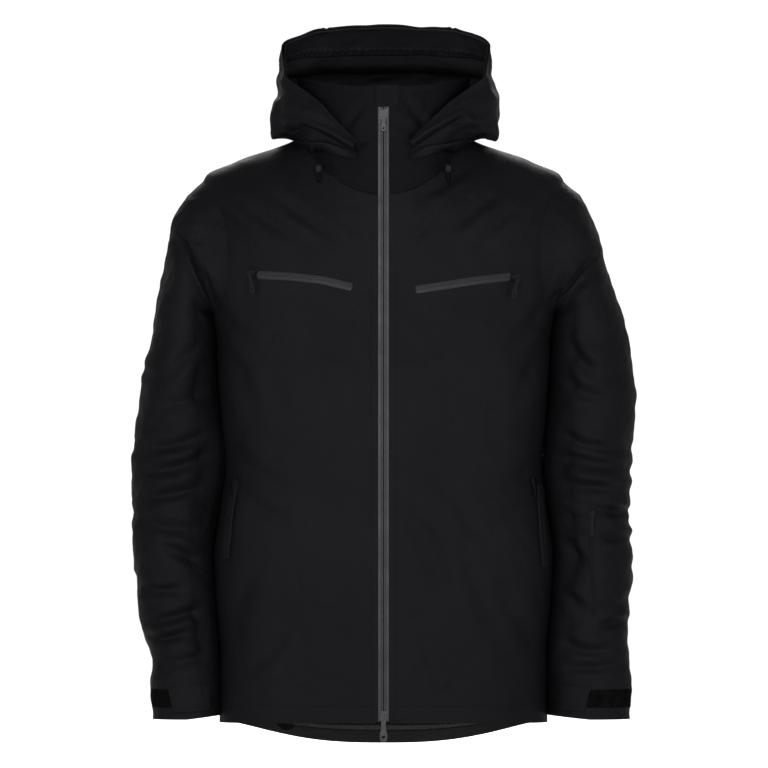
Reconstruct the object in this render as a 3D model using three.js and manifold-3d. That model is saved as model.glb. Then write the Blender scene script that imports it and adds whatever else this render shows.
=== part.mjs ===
// Hooded ski jacket, standing in its worn shape: insulated torso with a full-length two-way zip, high collar, soft hood,
// two jointed sleeves, welded chest zips, hidden hand-pocket zips, a forearm pocket, cuff tabs and an inner powder skirt.
// Millimetres, +Z up, the front faces -Y, the wearer's left is +X. The origin is the middle of the hanger loop at the back neck.
import * as THREE from "three";
import { mergeVertices } from "three/addons/utils/BufferGeometryUtils.js";
import Module from "manifold-3d";

const wasm = await Module();
wasm.setup();

// ---------------------------------------------------------------- driving dimensions
const ORIGIN_Y = 72, ORIGIN_Z = 792; // hanger loop, in the drafting frame, whose z = 0 is 28 mm below the front hem
const SHELL_T = 2.0; // face fabric with its membrane and seam tape
const BAG = [-2.4, -3.6]; // pocket bags, from the outer face inwards
const WADDING = [-4.0, -8.4]; // insulation
const LINING = [-8.8, -10.1];
const ZIP_HALF = 7.6; // half width of the closed main zip
const ZIP_EDGE = 8.2; // where the front panels start
const ZIP_SLIT = 0.8; // half the slit between the two tapes
const TAPE_T = 1.6;
const ARM_COL = 30; // the armhole runs this many degrees each way from the side line
const HEM_FRONT = 28, HEM_BACK = -3, BEND_Z = 420, COLLAR_TOP = 852;
const ZIP_Y0 = -142, ZIP_Y1 = -116; // the zip line: upright to BEND_Z, then straight to the collar's top edge

const rad = (d) => (d * Math.PI) / 180;
const zipY = (z) => (z <= BEND_Z ? ZIP_Y0 : ZIP_Y0 + ((z - BEND_Z) * (ZIP_Y1 - ZIP_Y0)) / (COLLAR_TOP - BEND_Z));

// ---------------------------------------------------------------- torso and collar surface
// half width, front y, back y, squareness, and the height at front, side and back of each ring from the hem up
const RINGS = [
  [214, ZIP_Y0, 118, 2.7, HEM_FRONT, HEM_FRONT - 2, HEM_BACK],
  [213, ZIP_Y0, 119, 2.7, 64, 62, 44],
  [213, ZIP_Y0, 120, 2.7, 120, 118, 108],
  [218, ZIP_Y0, 118, 2.7, 182, 181, 174],
  [221, ZIP_Y0, 115, 2.7, 243, 243, 240],
  [213, ZIP_Y0, 112, 2.7, 300, 302, 302],
  [206, ZIP_Y0, 111, 2.7, 352, 358, 358],
  [211, ZIP_Y0, 113, 2.7, 400, 414, 410],
  [215, zipY(445), 117, 2.8, 445, 465, 460],
  [217, zipY(492), 120, 2.8, 492, 515, 510],
  [218, zipY(538), 121, 2.8, 538, 562, 560],
  [222, zipY(588), 119, 2.7, 588, 650, 616],
  [233, zipY(636), 114, 2.5, 636, 733, 680],
  [190, zipY(676), 106, 2.4, 676, 758, 738],
  [110, zipY(714), 92, 2.2, 714, 792, 785],
  [112, zipY(782), 88, 2.2, 782, 832, 827],
  [113, zipY(COLLAR_TOP), 86, 2.2, COLLAR_TOP, 866, 846],
];
const ARM_LOW = 10, ARM_HIGH = 12, NECK = 14, TOP = 16;

const sp = (x, p) => Math.sign(x) * Math.pow(Math.abs(x), p);
function ringAt(v) {
  const i = Math.min(RINGS.length - 2, Math.max(0, Math.floor(v))), f = v - i;
  return RINGS[i].map((q, k) => q + (RINGS[i + 1][k] - q) * f);
}
function torso(deg, v) {
  const [a, yf, yb, n, zf, zs, zb] = ringAt(v);
  const c = Math.cos(rad(deg)), s = Math.sin(rad(deg)), mid = (yf + yb) / 2 + 2;
  const x = a * sp(Math.abs(c) < 1e-9 ? 0 : c, 2 / n), q = sp(Math.abs(s) < 1e-9 ? 0 : s, 2 / n);
  const y = q > 0 ? mid + q * (yb - mid) : mid + q * (mid - yf);
  const z = zs + (q > 0 ? (zb - zs) * q * q : (zf - zs) * q * q);
  return new THREE.Vector3(x, y, z);
}

// ---------------------------------------------------------------- sleeve surface
// centre x, y, z, lean of the ring (0 upright in the armhole, 90 flat across the arm), half width, half depth
const ARM = [
  [225, -8, 640, 8, 80, 74],
  [238.3, -7, 636.5, 13, 78.5, 76],
  [248.5, -5, 619, 23.5, 66.5, 77],
  [255, -3, 593.8, 40, 49.9, 77],
  [261, 0, 559, 73.4, 38.6, 77],
  [264, 2, 512, 86, 42, 77],
  [270.5, 3, 440, 90, 50, 75],
  [271, 2, 360, 90, 55, 69],
  [275, -1, 300, 90, 52, 64],
  [276.5, -6, 243, 90, 48.5, 60],
  [271, -10, 190, 90, 47, 57],
  [266, -14, 140, 90, 46, 54],
  [266, -18, 90, 90, 46, 51],
  [265.5, -20, 60, 90, 45, 49],
  [264, -22, 26, 90, 43, 47],
];
const ELBOW_Y = -30; // the elbow's axis, in the front third of the arm
const SHOULDER_CLEAR = [11, 29]; // degrees the rings are turned back on the outer side of the shoulder bend
const ELBOW_CLEAR = [0.16, 0.95]; // slopes of the rings in front of the elbow's axis
function armAt(t) {
  const i = Math.min(ARM.length - 2, Math.max(0, Math.floor(t))), f = t - i;
  return ARM[i].map((q, k) => q + (ARM[i + 1][k] - q) * f);
}
// the armhole's own outline, a little inside the edges of the panels around it
function armhole(side, up, back) {
  const m = Math.max(Math.abs(up), Math.abs(back)) / 0.955;
  const deg = (ARM_COL * back) / m, v = (ARM_LOW + ARM_HIGH) / 2 + up / m;
  const p = torso(side > 0 ? deg : 180 - deg, v);
  p.x += side * 1.4;
  return p;
}
// deg 90 is the top of the armhole and the outer side of the arm, 180 the front, -90 the underarm
function sleeve(side, deg, t) {
  const up = Math.sin(rad(deg)), back = Math.cos(rad(deg));
  if (t < 1e-6) return armhole(side, up, back);
  const [cx, cy, cz, lean, r1, ry] = armAt(t);
  return new THREE.Vector3(side * (cx + r1 * up * Math.sin(rad(lean))), cy + ry * back, cz + r1 * up * Math.cos(rad(lean)));
}

// ---------------------------------------------------------------- hood surface
// profiles from the centre back (0) to the front corner (1), each from the neck seam up to the rim
const HOOD = [
  [0.0, [0, 101, 796], [0, 142, 806], [0, 168, 828], [0, 164, 860], [0, 116, 880], [0, 46, 889], [0, -12, 934]],
  [0.3, [66, 92, 799], [90, 122, 808], [105, 144, 830], [106, 136, 858], [98, 100, 877], [90, 36, 887], [82, -15, 930]],
  [0.6, [124, 33, 799], [141, 46, 795], [148, 56, 818], [148, 58, 848], [144, 40, 864], [140, 10, 876], [134, -22, 907]],
  [0.8, [127, -47, 790], [144, -42, 785], [149, -38, 799], [149, -38, 822], [146, -46, 836], [141, -54, 848], [133, -60, 870]],
  [0.9, [97, -97, 777], [105, -98, 774], [108, -98, 786], [107, -100, 803], [102, -102, 816], [95, -103, 825], [87, -103, 832]],
  [1.0, [37, -128, 757], [39, -130, 761], [40, -131, 766], [39, -131, 771], [38, -130, 775], [36, -129, 778], [33, -128, 781]],
];
function hood(s, w) {
  const side = s < 0 ? -1 : 1, q = Math.abs(s);
  let i = 0;
  while (i < HOOD.length - 2 && q > HOOD[i + 1][0]) i++;
  const f = (q - HOOD[i][0]) / (HOOD[i + 1][0] - HOOD[i][0]);
  const k = Math.min(5, Math.floor(w)), g = w - k;
  const at = (r) => HOOD[r][k + 1].map((p, m) => p + (HOOD[r][k + 2][m] - p) * g);
  const A = at(i), B = at(i + 1);
  return new THREE.Vector3(side * (A[0] + (B[0] - A[0]) * f), A[1] + (B[1] - A[1]) * f, A[2] + (B[2] - A[2]) * f);
}

// ---------------------------------------------------------------- builders
function geometry(points, faces) {
  const g = new THREE.BufferGeometry();
  g.setAttribute("position", new THREE.BufferAttribute(new Float32Array(points.flatMap((p) => [p.x, p.y, p.z])), 3));
  let vol = 0;
  for (const [a, b, c] of faces) vol += points[a].dot(new THREE.Vector3().crossVectors(points[b], points[c]));
  g.setIndex((vol < 0 ? faces.map(([a, b, c]) => [a, c, b]) : faces).flat());
  return g;
}

// A closed sheet of cloth between two offsets of a surface, over the cells of a grid that keep() allows.
function cloth(surf, us, vs, off, { keep = () => true, wrap = false, outward, pin = (p) => p } = {}) {
  const nu = us.length, nv = vs.length, pts = [[], []];
  const lo = vs[0], hi = vs[nv - 1];
  for (let i = 0; i < nu; i++)
    for (let j = 0; j < nv; j++) {
      const u = us[i], v = vs[j], e = 0.12, d = 2.0;
      const p = surf(u, v);
      const du = surf(u + d, v, true).sub(surf(u - d, v, true));
      const dv = surf(u, Math.min(hi, v + e)).sub(surf(u, Math.max(lo, v - e)));
      const n = new THREE.Vector3().crossVectors(du, dv).normalize();
      if (n.dot(outward(p, u, v)) < 0) n.negate();
      for (const k of [0, 1]) pts[k].push(pin(p.clone().addScaledVector(n, off[k]), u, v));
    }
  const all = [...pts[0], ...pts[1]], base = pts[0].length, id = (i, j) => (i % nu) * nv + j;
  const faces = [], cell = (i, j) => {
    if (j < 0 || j >= nv - 1) return false;
    if (wrap) i = (i + nu) % nu;
    else if (i < 0 || i >= nu - 1) return false;
    return keep(i, j, us, vs);
  };
  const quad = (a, b, c, d2) => faces.push([a, b, c], [a, c, d2]);
  for (let i = 0; i < (wrap ? nu : nu - 1); i++)
    for (let j = 0; j < nv - 1; j++) {
      if (!cell(i, j)) continue;
      const a = id(i, j), b = id(i + 1, j), c = id(i + 1, j + 1), d = id(i, j + 1);
      quad(a, b, c, d);
      quad(base + a, base + d, base + c, base + b);
      if (!cell(i, j - 1)) quad(b, a, base + a, base + b);
      if (!cell(i, j + 1)) quad(d, c, base + c, base + d);
      if (!cell(i - 1, j)) quad(a, d, base + d, base + a);
      if (!cell(i + 1, j)) quad(c, b, base + b, base + c);
    }
  return mergeVertices(geometry(all, faces), 1e-4);
}

function solid(g) {
  const h = g.clone();
  h.deleteAttribute("normal");
  h.deleteAttribute("uv");
  const m = mergeVertices(h, 1e-4);
  return new wasm.Manifold(new wasm.Mesh({ numProp: 3, vertProperties: m.attributes.position.array, triVerts: new Uint32Array(m.index.array) }));
}
function fromSolid(s) {
  const m = s.getMesh(), g = new THREE.BufferGeometry();
  g.setAttribute("position", new THREE.BufferAttribute(new Float32Array(m.vertProperties), 3));
  g.setIndex(new THREE.BufferAttribute(new Uint32Array(m.triVerts), 1));
  return g;
}
const join = (...gs) => fromSolid(gs.map(solid).reduce((a, b) => a.add(b)));
const cut = (a, ...bs) => fromSolid(bs.map(solid).reduce((x, y) => x.subtract(y), solid(a)));

const fabric = new THREE.MeshStandardMaterial({ color: 0x1f1f22, roughness: 0.85, metalness: 0 });
const liningMat = new THREE.MeshStandardMaterial({ color: 0x141416, roughness: 0.6, metalness: 0 });
const wadMat = new THREE.MeshStandardMaterial({ color: 0xd8d8d6, roughness: 1, metalness: 0 });
const zipMat = new THREE.MeshStandardMaterial({ color: 0x3d3e42, roughness: 0.4, metalness: 0 });
const metal = new THREE.MeshStandardMaterial({ color: 0x2a2b2e, roughness: 0.35, metalness: 1 });
const plastic = new THREE.MeshStandardMaterial({ color: 0x141415, roughness: 0.45, metalness: 0 });
const velcro = new THREE.MeshStandardMaterial({ color: 0x0c0c0c, roughness: 1, metalness: 0 });

const jacket = new THREE.Group();
const drafting = new THREE.Group();
drafting.position.set(0, -ORIGIN_Y, -ORIGIN_Z);
jacket.add(drafting);
function add(name, geo, mat, pos, rot) {
  const m = new THREE.Mesh(geo, mat);
  m.name = name;
  if (pos) m.position.set(...pos);
  if (rot) m.rotation.set(...rot);
  drafting.add(m);
  return m;
}

// ---------------------------------------------------------------- torso
const COLS = Array.from({ length: 25 }, (_, i) => -90 + i * 15); // -90 front, 0 wearer's left, 90 back, 180 right, 270 front
const ROWS = [0, 1, 2, 3, 4, 5, 6, 7, 8, 9, 10, 11, 12, 13, 13.97];
const isArm = (u0, u1, v0, v1) => {
  const um = (((u0 + u1) / 2 + 360) % 360), vm = (v0 + v1) / 2;
  const side = um < ARM_COL || um > 360 - ARM_COL || Math.abs(um - 180) < ARM_COL;
  return side && vm > ARM_LOW && vm < ARM_HIGH;
};
const keepBody = (i, j, us, vs) => !isArm(us[i], us[i + 1] ?? us[i] + 15, vs[j], vs[j + 1]);
const outBody = (p) => new THREE.Vector3(p.x, p.y * 1.4, p.z > 700 && Math.abs(p.x) > 90 ? 120 : 0);
// the two front edges stand square, ZIP_EDGE from the middle
const pinTo = (edge) => (p, u) => {
  if (u <= -90 + 1e-6) p.x = edge;
  else if (u >= 270 - 1e-6) p.x = -edge;
  return p;
};
const SEAM = 0.35 / 4; // degrees, so that neighbouring panels stay about 0.3 mm apart
const seamed = (a, b, keepA, keepB) => COLS.filter((c) => c >= a - 1e-9 && c <= b + 1e-9).map((c) => (c === a && !keepA ? c + SEAM : c === b && !keepB ? c - SEAM : c));
const torsoCloth = (name, us, vs, off, mat, edge = ZIP_EDGE) => add(name, cloth(torso, us, vs, off, { keep: keepBody, outward: outBody, pin: pinTo(edge) }), mat);

torsoCloth("front_panel_left", seamed(-90, 0, true, false), ROWS, [0, -SHELL_T], fabric);
torsoCloth("front_panel_right", seamed(180, 270, false, true), ROWS, [0, -SHELL_T], fabric);
torsoCloth("back_panel", seamed(0, 180), ROWS, [0, -SHELL_T], fabric);
torsoCloth("body_insulation", COLS, ROWS.slice(1, -1), WADDING, wadMat, ZIP_EDGE + 6);
torsoCloth("body_lining", COLS, [0.3, ...ROWS.slice(1)], LINING, liningMat, ZIP_EDGE + 6);

const COLLAR = [14.03, 15, 15.98];
torsoCloth("collar_shell_left", seamed(-90, 90, true, false), COLLAR, [0, -SHELL_T], fabric);
torsoCloth("collar_shell_right", seamed(90, 270, false, true), COLLAR, [0, -SHELL_T], fabric);
torsoCloth("collar_lining", COLS, COLLAR, [-3.2, -5.2], liningMat, ZIP_EDGE + 3);

// ---------------------------------------------------------------- main zip
// two tapes along the zip line, each one closed strip with its coil on the inner side
function tape(side) {
  const zs = [30, BEND_Z, 846], x0 = side * ZIP_SLIT, x1 = side * ZIP_HALF, pts = [], faces = [];
  const coil = side * (ZIP_SLIT + 1.7);
  for (const z of zs) {
    const y = zipY(z);
    for (const [x, dy] of [[x0, 0], [x1, 0], [x1, TAPE_T], [coil, TAPE_T], [coil, TAPE_T + 0.9], [x0, TAPE_T + 0.9]]) pts.push(new THREE.Vector3(x, y + dy, z));
  }
  const n = 6;
  for (let r = 0; r < 2; r++)
    for (let k = 0; k < n; k++) {
      const a = r * n + k, b = r * n + ((k + 1) % n);
      faces.push([a, b, b + n], [a, b + n, a + n]);
    }
  for (const [r, flip] of [[0, true], [2, false]]) {
    const f = [[0, 1, 2], [0, 2, 3], [0, 3, 5], [3, 4, 5]].map((t) => t.map((q) => q + r * n));
    faces.push(...(flip ? f.map(([a, b, c]) => [a, c, b]) : f));
  }
  return geometry(pts, faces);
}
add("main_zip_tape_left", tape(1), zipMat);
add("main_zip_tape_right", tape(-1), zipMat);

// storm flap behind the zip, one upright strip bent with the zip line
{
  const pts = [], faces = [];
  for (const z of [34, BEND_Z, 700, 838])
    for (const [x, dy] of [[-10.6, 5.4], [10.6, 5.4], [10.6, 6.8], [-10.6, 6.8]]) pts.push(new THREE.Vector3(x, zipY(z) + dy, z));
  for (let r = 0; r < 3; r++)
    for (let k = 0; k < 4; k++) {
      const a = r * 4 + k, b = r * 4 + ((k + 1) % 4);
      faces.push([a, b, b + 4], [a, b + 4, a + 4]);
    }
  faces.push([0, 2, 1], [0, 3, 2], [12, 13, 14], [12, 14, 15]);
  add("storm_flap", geometry(pts, faces), fabric);
}

// garage: the rounded fold that covers the top of the zip
{
  const s = new THREE.Shape();
  s.moveTo(-9.5, 28);
  s.lineTo(20, 28);
  s.lineTo(20, 10);
  s.quadraticCurveTo(19, 0, 9, 0);
  s.lineTo(-9.5, 0);
  s.closePath();
  const g = new THREE.ExtrudeGeometry(s, { depth: 1.5, bevelEnabled: false, curveSegments: 5 });
  g.rotateX(Math.PI / 2);
  add("zip_garage", g, fabric, [0, zipY(826) - 0.9, 826], [-Math.atan2(ZIP_Y1 - ZIP_Y0, COLLAR_TOP - BEND_Z), 0, 0]);
}

// A slider: front plate with a bridge, rear plate, and the neck that joins them through the slit between the tapes.
function plate(w, l, t, taper) {
  const s = new THREE.Shape();
  s.moveTo(-w / 2, l / 2);
  s.lineTo(w / 2, l / 2);
  s.lineTo(w / 2, -l * 0.1);
  s.lineTo((w / 2) * taper, -l / 2);
  s.lineTo((-w / 2) * taper, -l / 2);
  s.lineTo(-w / 2, -l * 0.1);
  s.closePath();
  const g = new THREE.ExtrudeGeometry(s, { depth: t, bevelEnabled: false });
  g.rotateX(Math.PI / 2); // the outline stands in XZ, the thickness runs towards -Y from y = 0
  return g;
}
function boxAt(w, d, h, x, y, z) {
  const g = new THREE.BoxGeometry(w, d, h);
  g.translate(x, y, z);
  return g;
}
const GAP = 0.35;
// a two-plate slider whose origin is on the tape's front face; up = 1 closes upwards
function mainSlider(up) {
  const front = plate(10.4, 13, 1.6, 0.62), rear = plate(10.4, 13, 1.2, 0.62);
  front.translate(0, -GAP, 0);
  rear.translate(0, TAPE_T + 0.9 + GAP + 1.2, 0);
  const neck = boxAt(0.9, TAPE_T + 0.9 + 2 * GAP + 0.6, 5, 0, (TAPE_T + 0.9) / 2, 2.6);
  const bridge = join(boxAt(2.2, 1.2, 8.4, 0, -GAP - 1.6 - 2.1, 0.2), boxAt(2.2, 2.6, 1.6, 0, -GAP - 1.6 - 0.9, 3.6), boxAt(2.2, 2.6, 1.6, 0, -GAP - 1.6 - 0.9, -3.2));
  const g = join(front, rear, neck, bridge);
  if (up < 0) g.rotateY(Math.PI);
  return up < 0 ? flipZ(g) : g;
}
function flipZ(g) {
  const h = g.clone();
  h.rotateX(Math.PI);
  h.rotateZ(Math.PI);
  return h;
}
function smallSlider(w, l) {
  const front = plate(w, l, 1.5, 0.6);
  front.translate(0, -GAP, 0);
  return join(front, boxAt(1.8, 1.1, l * 0.62, 0, -GAP - 1.5 - 1.7, 0), boxAt(1.8, 2.2, 1.4, 0, -GAP - 1.5 - 0.7, l * 0.26), boxAt(1.8, 2.2, 1.4, 0, -GAP - 1.5 - 0.7, -l * 0.24));
}
// a pull: waisted tab with an eye near its end, hanging from its top edge at z = 0, 1.5 thick
function pull(w, l, eye) {
  const s = new THREE.Shape();
  s.moveTo(-w * 0.3, 0);
  s.lineTo(w * 0.3, 0);
  s.lineTo(w * 0.3, -l * 0.45);
  s.quadraticCurveTo(w * 0.5, -l * 0.62, w * 0.5, -l * 0.78);
  s.quadraticCurveTo(w * 0.48, -l, 0, -l);
  s.quadraticCurveTo(-w * 0.48, -l, -w * 0.5, -l * 0.78);
  s.quadraticCurveTo(-w * 0.5, -l * 0.62, -w * 0.3, -l * 0.45);
  s.closePath();
  if (eye) {
    const h = new THREE.Path();
    h.setFromPoints(Array.from({ length: 8 }, (_, i) => new THREE.Vector2(eye * Math.cos((i * Math.PI) / 4), -l * 0.78 + eye * 0.75 * Math.sin((i * Math.PI) / 4))));
    s.holes.push(h);
  }
  const g = new THREE.ExtrudeGeometry(s, { depth: 1.5, bevelEnabled: false, curveSegments: 4 });
  g.rotateX(Math.PI / 2);
  g.translate(0, 0.75, 0);
  return g;
}

const LEAN = -Math.atan2(ZIP_Y1 - ZIP_Y0, COLLAR_TOP - BEND_Z); // the upper zip line leans back
const TOP_Z = 816, LOW_Z = 37.5;
add("main_slider_top", mainSlider(1), metal, [0, zipY(TOP_Z), TOP_Z], [LEAN, 0, 0]);
add("main_puller_top", pull(7, 17, 1.6), metal, [0, zipY(TOP_Z) - 5.9, TOP_Z - 4.6], [LEAN, 0, 0]);
add("main_slider_bottom", mainSlider(1), metal, [0, ZIP_Y0, LOW_Z]);
add("main_puller_bottom", pull(10, 29, 2.6), metal, [0, ZIP_Y0 - 5.9, LOW_Z - 4.6]);

// ---------------------------------------------------------------- chest pockets
// each zip is a straight strip laid on the chest, rising outwards; the slider parks at the outer end
const CHEST = { left: { a: [42, -143.0, 587], b: [174, -108.6, 604] }, right: { a: [-40, -143.0, 590], b: [-174, -108.6, 610] } };
for (const side of ["left", "right"]) {
  const A = new THREE.Vector3(...CHEST[side].a), B = new THREE.Vector3(...CHEST[side].b), sgn = side === "left" ? 1 : -1;
  const along = B.clone().sub(A), L = along.length(), ex = along.clone().normalize(), ez = new THREE.Vector3(0, 0, 1);
  const ey = new THREE.Vector3().crossVectors(ez, ex).normalize().multiplyScalar(sgn); // into the cloth
  const up = new THREE.Vector3().crossVectors(ex, ey).multiplyScalar(sgn);
  const frame = (o, x = ex) => new THREE.Matrix4().makeBasis(x.clone().multiplyScalar(sgn), ey, up).setPosition(o);
  const strip = boxAt(L, 1.4, 10, (sgn * L) / 2, -0.7, 0);
  const g = strip.clone().applyMatrix4(frame(A));
  add(`chest_zip_${side}`, g, zipMat);
  const bag = cloth(torso, side === "left" ? [-75, -60, -45] : [225, 240, 255], [9, 10, 10.9], BAG, { outward: outBody });
  add(`chest_pocket_bag_${side}`, bag, liningMat);
  const at = B.clone().addScaledVector(ex, -3);
  const slid = smallSlider(9, 11);
  slid.rotateY((sgn * -Math.PI) / 2);
  slid.applyMatrix4(frame(at.clone().addScaledVector(ey, -1.4)));
  add(`chest_slider_${side}`, slid, metal);
  const p = pull(7.5, 25, 1.5);
  p.rotateY(rad(sgn * 20));
  const q = at.clone().addScaledVector(ey, -8.2).addScaledVector(up, -1.2);
  p.applyMatrix4(frame(q));
  add(`chest_puller_${side}`, p, plastic);
}

// ---------------------------------------------------------------- hand pockets
for (const side of ["left", "right"]) {
  const sgn = side === "left" ? 1 : -1;
  // the pocket mouth follows the front side of the body, its zip hidden under a welt
  const lo = torso(sgn > 0 ? -27 : 207, 3.9), hi = torso(sgn > 0 ? -27 : 207, 5.85);
  const n = new THREE.Vector3(sgn * 0.9, -0.436, 0).normalize();
  const up = hi.clone().sub(lo).normalize(), across = new THREE.Vector3().crossVectors(n, up).normalize(), L = hi.distanceTo(lo);
  const base = lo.clone().addScaledVector(n, 2.6);
  const frame = new THREE.Matrix4().makeBasis(across, n, up).setPosition(base);
  add(`hand_zip_${side}`, boxAt(11, 1.3, L, 0, 0, L / 2).applyMatrix4(frame), zipMat);
  add(`hand_pocket_welt_${side}`, boxAt(13, 1.2, L + 8, 0, 6.0, L / 2).applyMatrix4(frame), fabric);
  const s = boxAt(6.5, 2.6, 10, 0, 2.6, L - 8);
  add(`hand_slider_${side}`, join(s, boxAt(4.4, 1.2, 16, 0, 3.3, L - 18)).applyMatrix4(frame), metal);
}

// ---------------------------------------------------------------- powder skirt, inside the body
const skirt = (u, v) => {
  const k = [[0.985, 236], [0.94, 160], [0.9, 90], [0.88, 34]], i = Math.min(2, Math.floor(v)), f = v - i;
  const m = k[i][0] + (k[i + 1][0] - k[i][0]) * f, z = k[i][1] + (k[i + 1][1] - k[i][1]) * f, back = Math.max(0, Math.sin(rad(u)));
  const c = torso(u, 4), mid = -12;
  const y = mid + (c.y - mid) * m;
  return new THREE.Vector3(c.x * 0.94 * m, y + (y < mid ? 16 : -14), z - back * back * 16 * (v / 3));
};
const SKIRT_COLS = COLS.slice(0, -1);
add("powder_skirt", cloth(skirt, SKIRT_COLS, [0, 1, 2, 3], [0, -1.4], { wrap: true, outward: (p) => new THREE.Vector3(p.x, p.y, 0) }), liningMat);

// ---------------------------------------------------------------- hanger loop at the back neck: a strap on two sewn ends
{
  const s = new THREE.Shape();
  s.moveTo(-36, 8.6);
  s.lineTo(-24, 8.6);
  s.quadraticCurveTo(-18, 8.6, -16, 3);
  s.quadraticCurveTo(-13, -3.2, 0, -3.2);
  s.quadraticCurveTo(13, -3.2, 16, 3);
  s.quadraticCurveTo(18, 8.6, 24, 8.6);
  s.lineTo(36, 8.6);
  s.lineTo(36, 6.6);
  s.lineTo(25, 6.6);
  s.quadraticCurveTo(20, 6.4, 18, 1.6);
  s.quadraticCurveTo(14, -5.2, 0, -5.2);
  s.quadraticCurveTo(-14, -5.2, -18, 1.6);
  s.quadraticCurveTo(-20, 6.4, -25, 6.6);
  s.lineTo(-36, 6.6);
  s.closePath();
  const g = new THREE.ExtrudeGeometry(s, { depth: 9, bevelEnabled: false, curveSegments: 4 });
  add("hanger_loop", g, fabric, [0, ORIGIN_Y, ORIGIN_Z - 4.5]);
}

// ---------------------------------------------------------------- hood
const HW = [0.1, 1, 2, 3, 4, 5, 6];
const S_ALL = [-0.68, -0.6, -0.45, -0.3, -0.15, 0, 0.15, 0.3, 0.45, 0.6, 0.68];
const hoodSurf = (u, w) => hood(u / 100, w);
const outHood = (p, u, w) => {
  const c = new THREE.Vector3(0, 45, 848);
  const o = p.clone().sub(c);
  if (w < 1.2) o.z -= 90;
  return o;
};
const hoodCloth = (name, ss, ws, off, mat) => add(name, cloth(hoodSurf, ss.map((s) => s * 100), ws, off, { outward: outHood }), mat);
hoodCloth("hood_center_panel", [-0.2975, -0.15, 0, 0.15, 0.2975], HW, [0, -SHELL_T], fabric);
hoodCloth("hood_side_left", [0.3025, 0.45, 0.6, 0.68], HW, [0, -SHELL_T], fabric);
hoodCloth("hood_side_right", [-0.68, -0.6, -0.45, -0.3025], HW, [0, -SHELL_T], fabric);
hoodCloth("hood_brim", S_ALL, [5.25, 5.98], [-3.4, -5], fabric);
hoodCloth("hood_lining", S_ALL, [0.2, 1, 2, 3, 4, 5, 5.22], [-3.4, -4.8], liningMat);
for (const side of ["left", "right"]) {
  const sgn = side === "left" ? 1 : -1;
  const ss = [0.7, 0.8, 0.85, 0.9, 0.95, 1.0].map((s) => s * sgn);
  if (sgn < 0) ss.reverse();
  hoodCloth(`hood_corner_${side}`, ss, HW, [0, -SHELL_T], fabric);
  // elastic cord out of the corner, with its lock and the lock's button
  const cx = sgn * 84, cy = -118;
  const path = new THREE.CatmullRomCurve3([
    new THREE.Vector3(cx - 2.6, cy + 6, 767.4), new THREE.Vector3(cx - 2.6, cy + 3, 767), new THREE.Vector3(cx - 2.6, cy - 0.4, 764), new THREE.Vector3(cx - 2.6, cy - 1, 757),
    new THREE.Vector3(cx - 2.6, cy - 1, 746), new THREE.Vector3(cx - 2.6, cy - 1, 737), new THREE.Vector3(cx - 1.9, cy - 1, 731),
    new THREE.Vector3(cx, cy - 1, 728.6), new THREE.Vector3(cx + 1.9, cy - 1, 731), new THREE.Vector3(cx + 2.6, cy - 1, 737), new THREE.Vector3(cx + 2.6, cy - 1, 746),
    new THREE.Vector3(cx + 2.6, cy - 1, 757), new THREE.Vector3(cx + 2.6, cy - 0.4, 764), new THREE.Vector3(cx + 2.6, cy + 3, 767), new THREE.Vector3(cx + 2.6, cy + 6, 767.4),
  ]);
  const sec = new THREE.Shape(Array.from({ length: 8 }, (_, i) => new THREE.Vector2(1.25 * Math.cos((i * Math.PI) / 4), 1.25 * Math.sin((i * Math.PI) / 4))));
  add(`hood_cord_${side}`, new THREE.ExtrudeGeometry(sec, { steps: 40, extrudePath: path, curveSegments: 4 }), fabric);
  // barrel with two cord holes, open through z
  const barrel = new THREE.CylinderGeometry(6.6, 6.6, 10, 12);
  barrel.rotateX(Math.PI / 2);
  barrel.scale(1, 0.9, 1);
  const hole = (dx) => boxAt(3.6, 3.4, 14, dx, 0, 0);
  const well = new THREE.CylinderGeometry(3.7, 3.7, 4, 12);
  well.translate(0, -4.4, 0); // leaves a floor at y = -2.4
  add(`cord_lock_${side}`, cut(barrel, hole(-2.6), hole(2.6), well), plastic, [cx, cy - 1, 746]);
  const button = new THREE.CylinderGeometry(3.1, 3.1, 3.6, 12);
  add(`cord_lock_button_${side}`, button, plastic, [cx, cy - 1 - 7.2, 746]);
}

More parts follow.
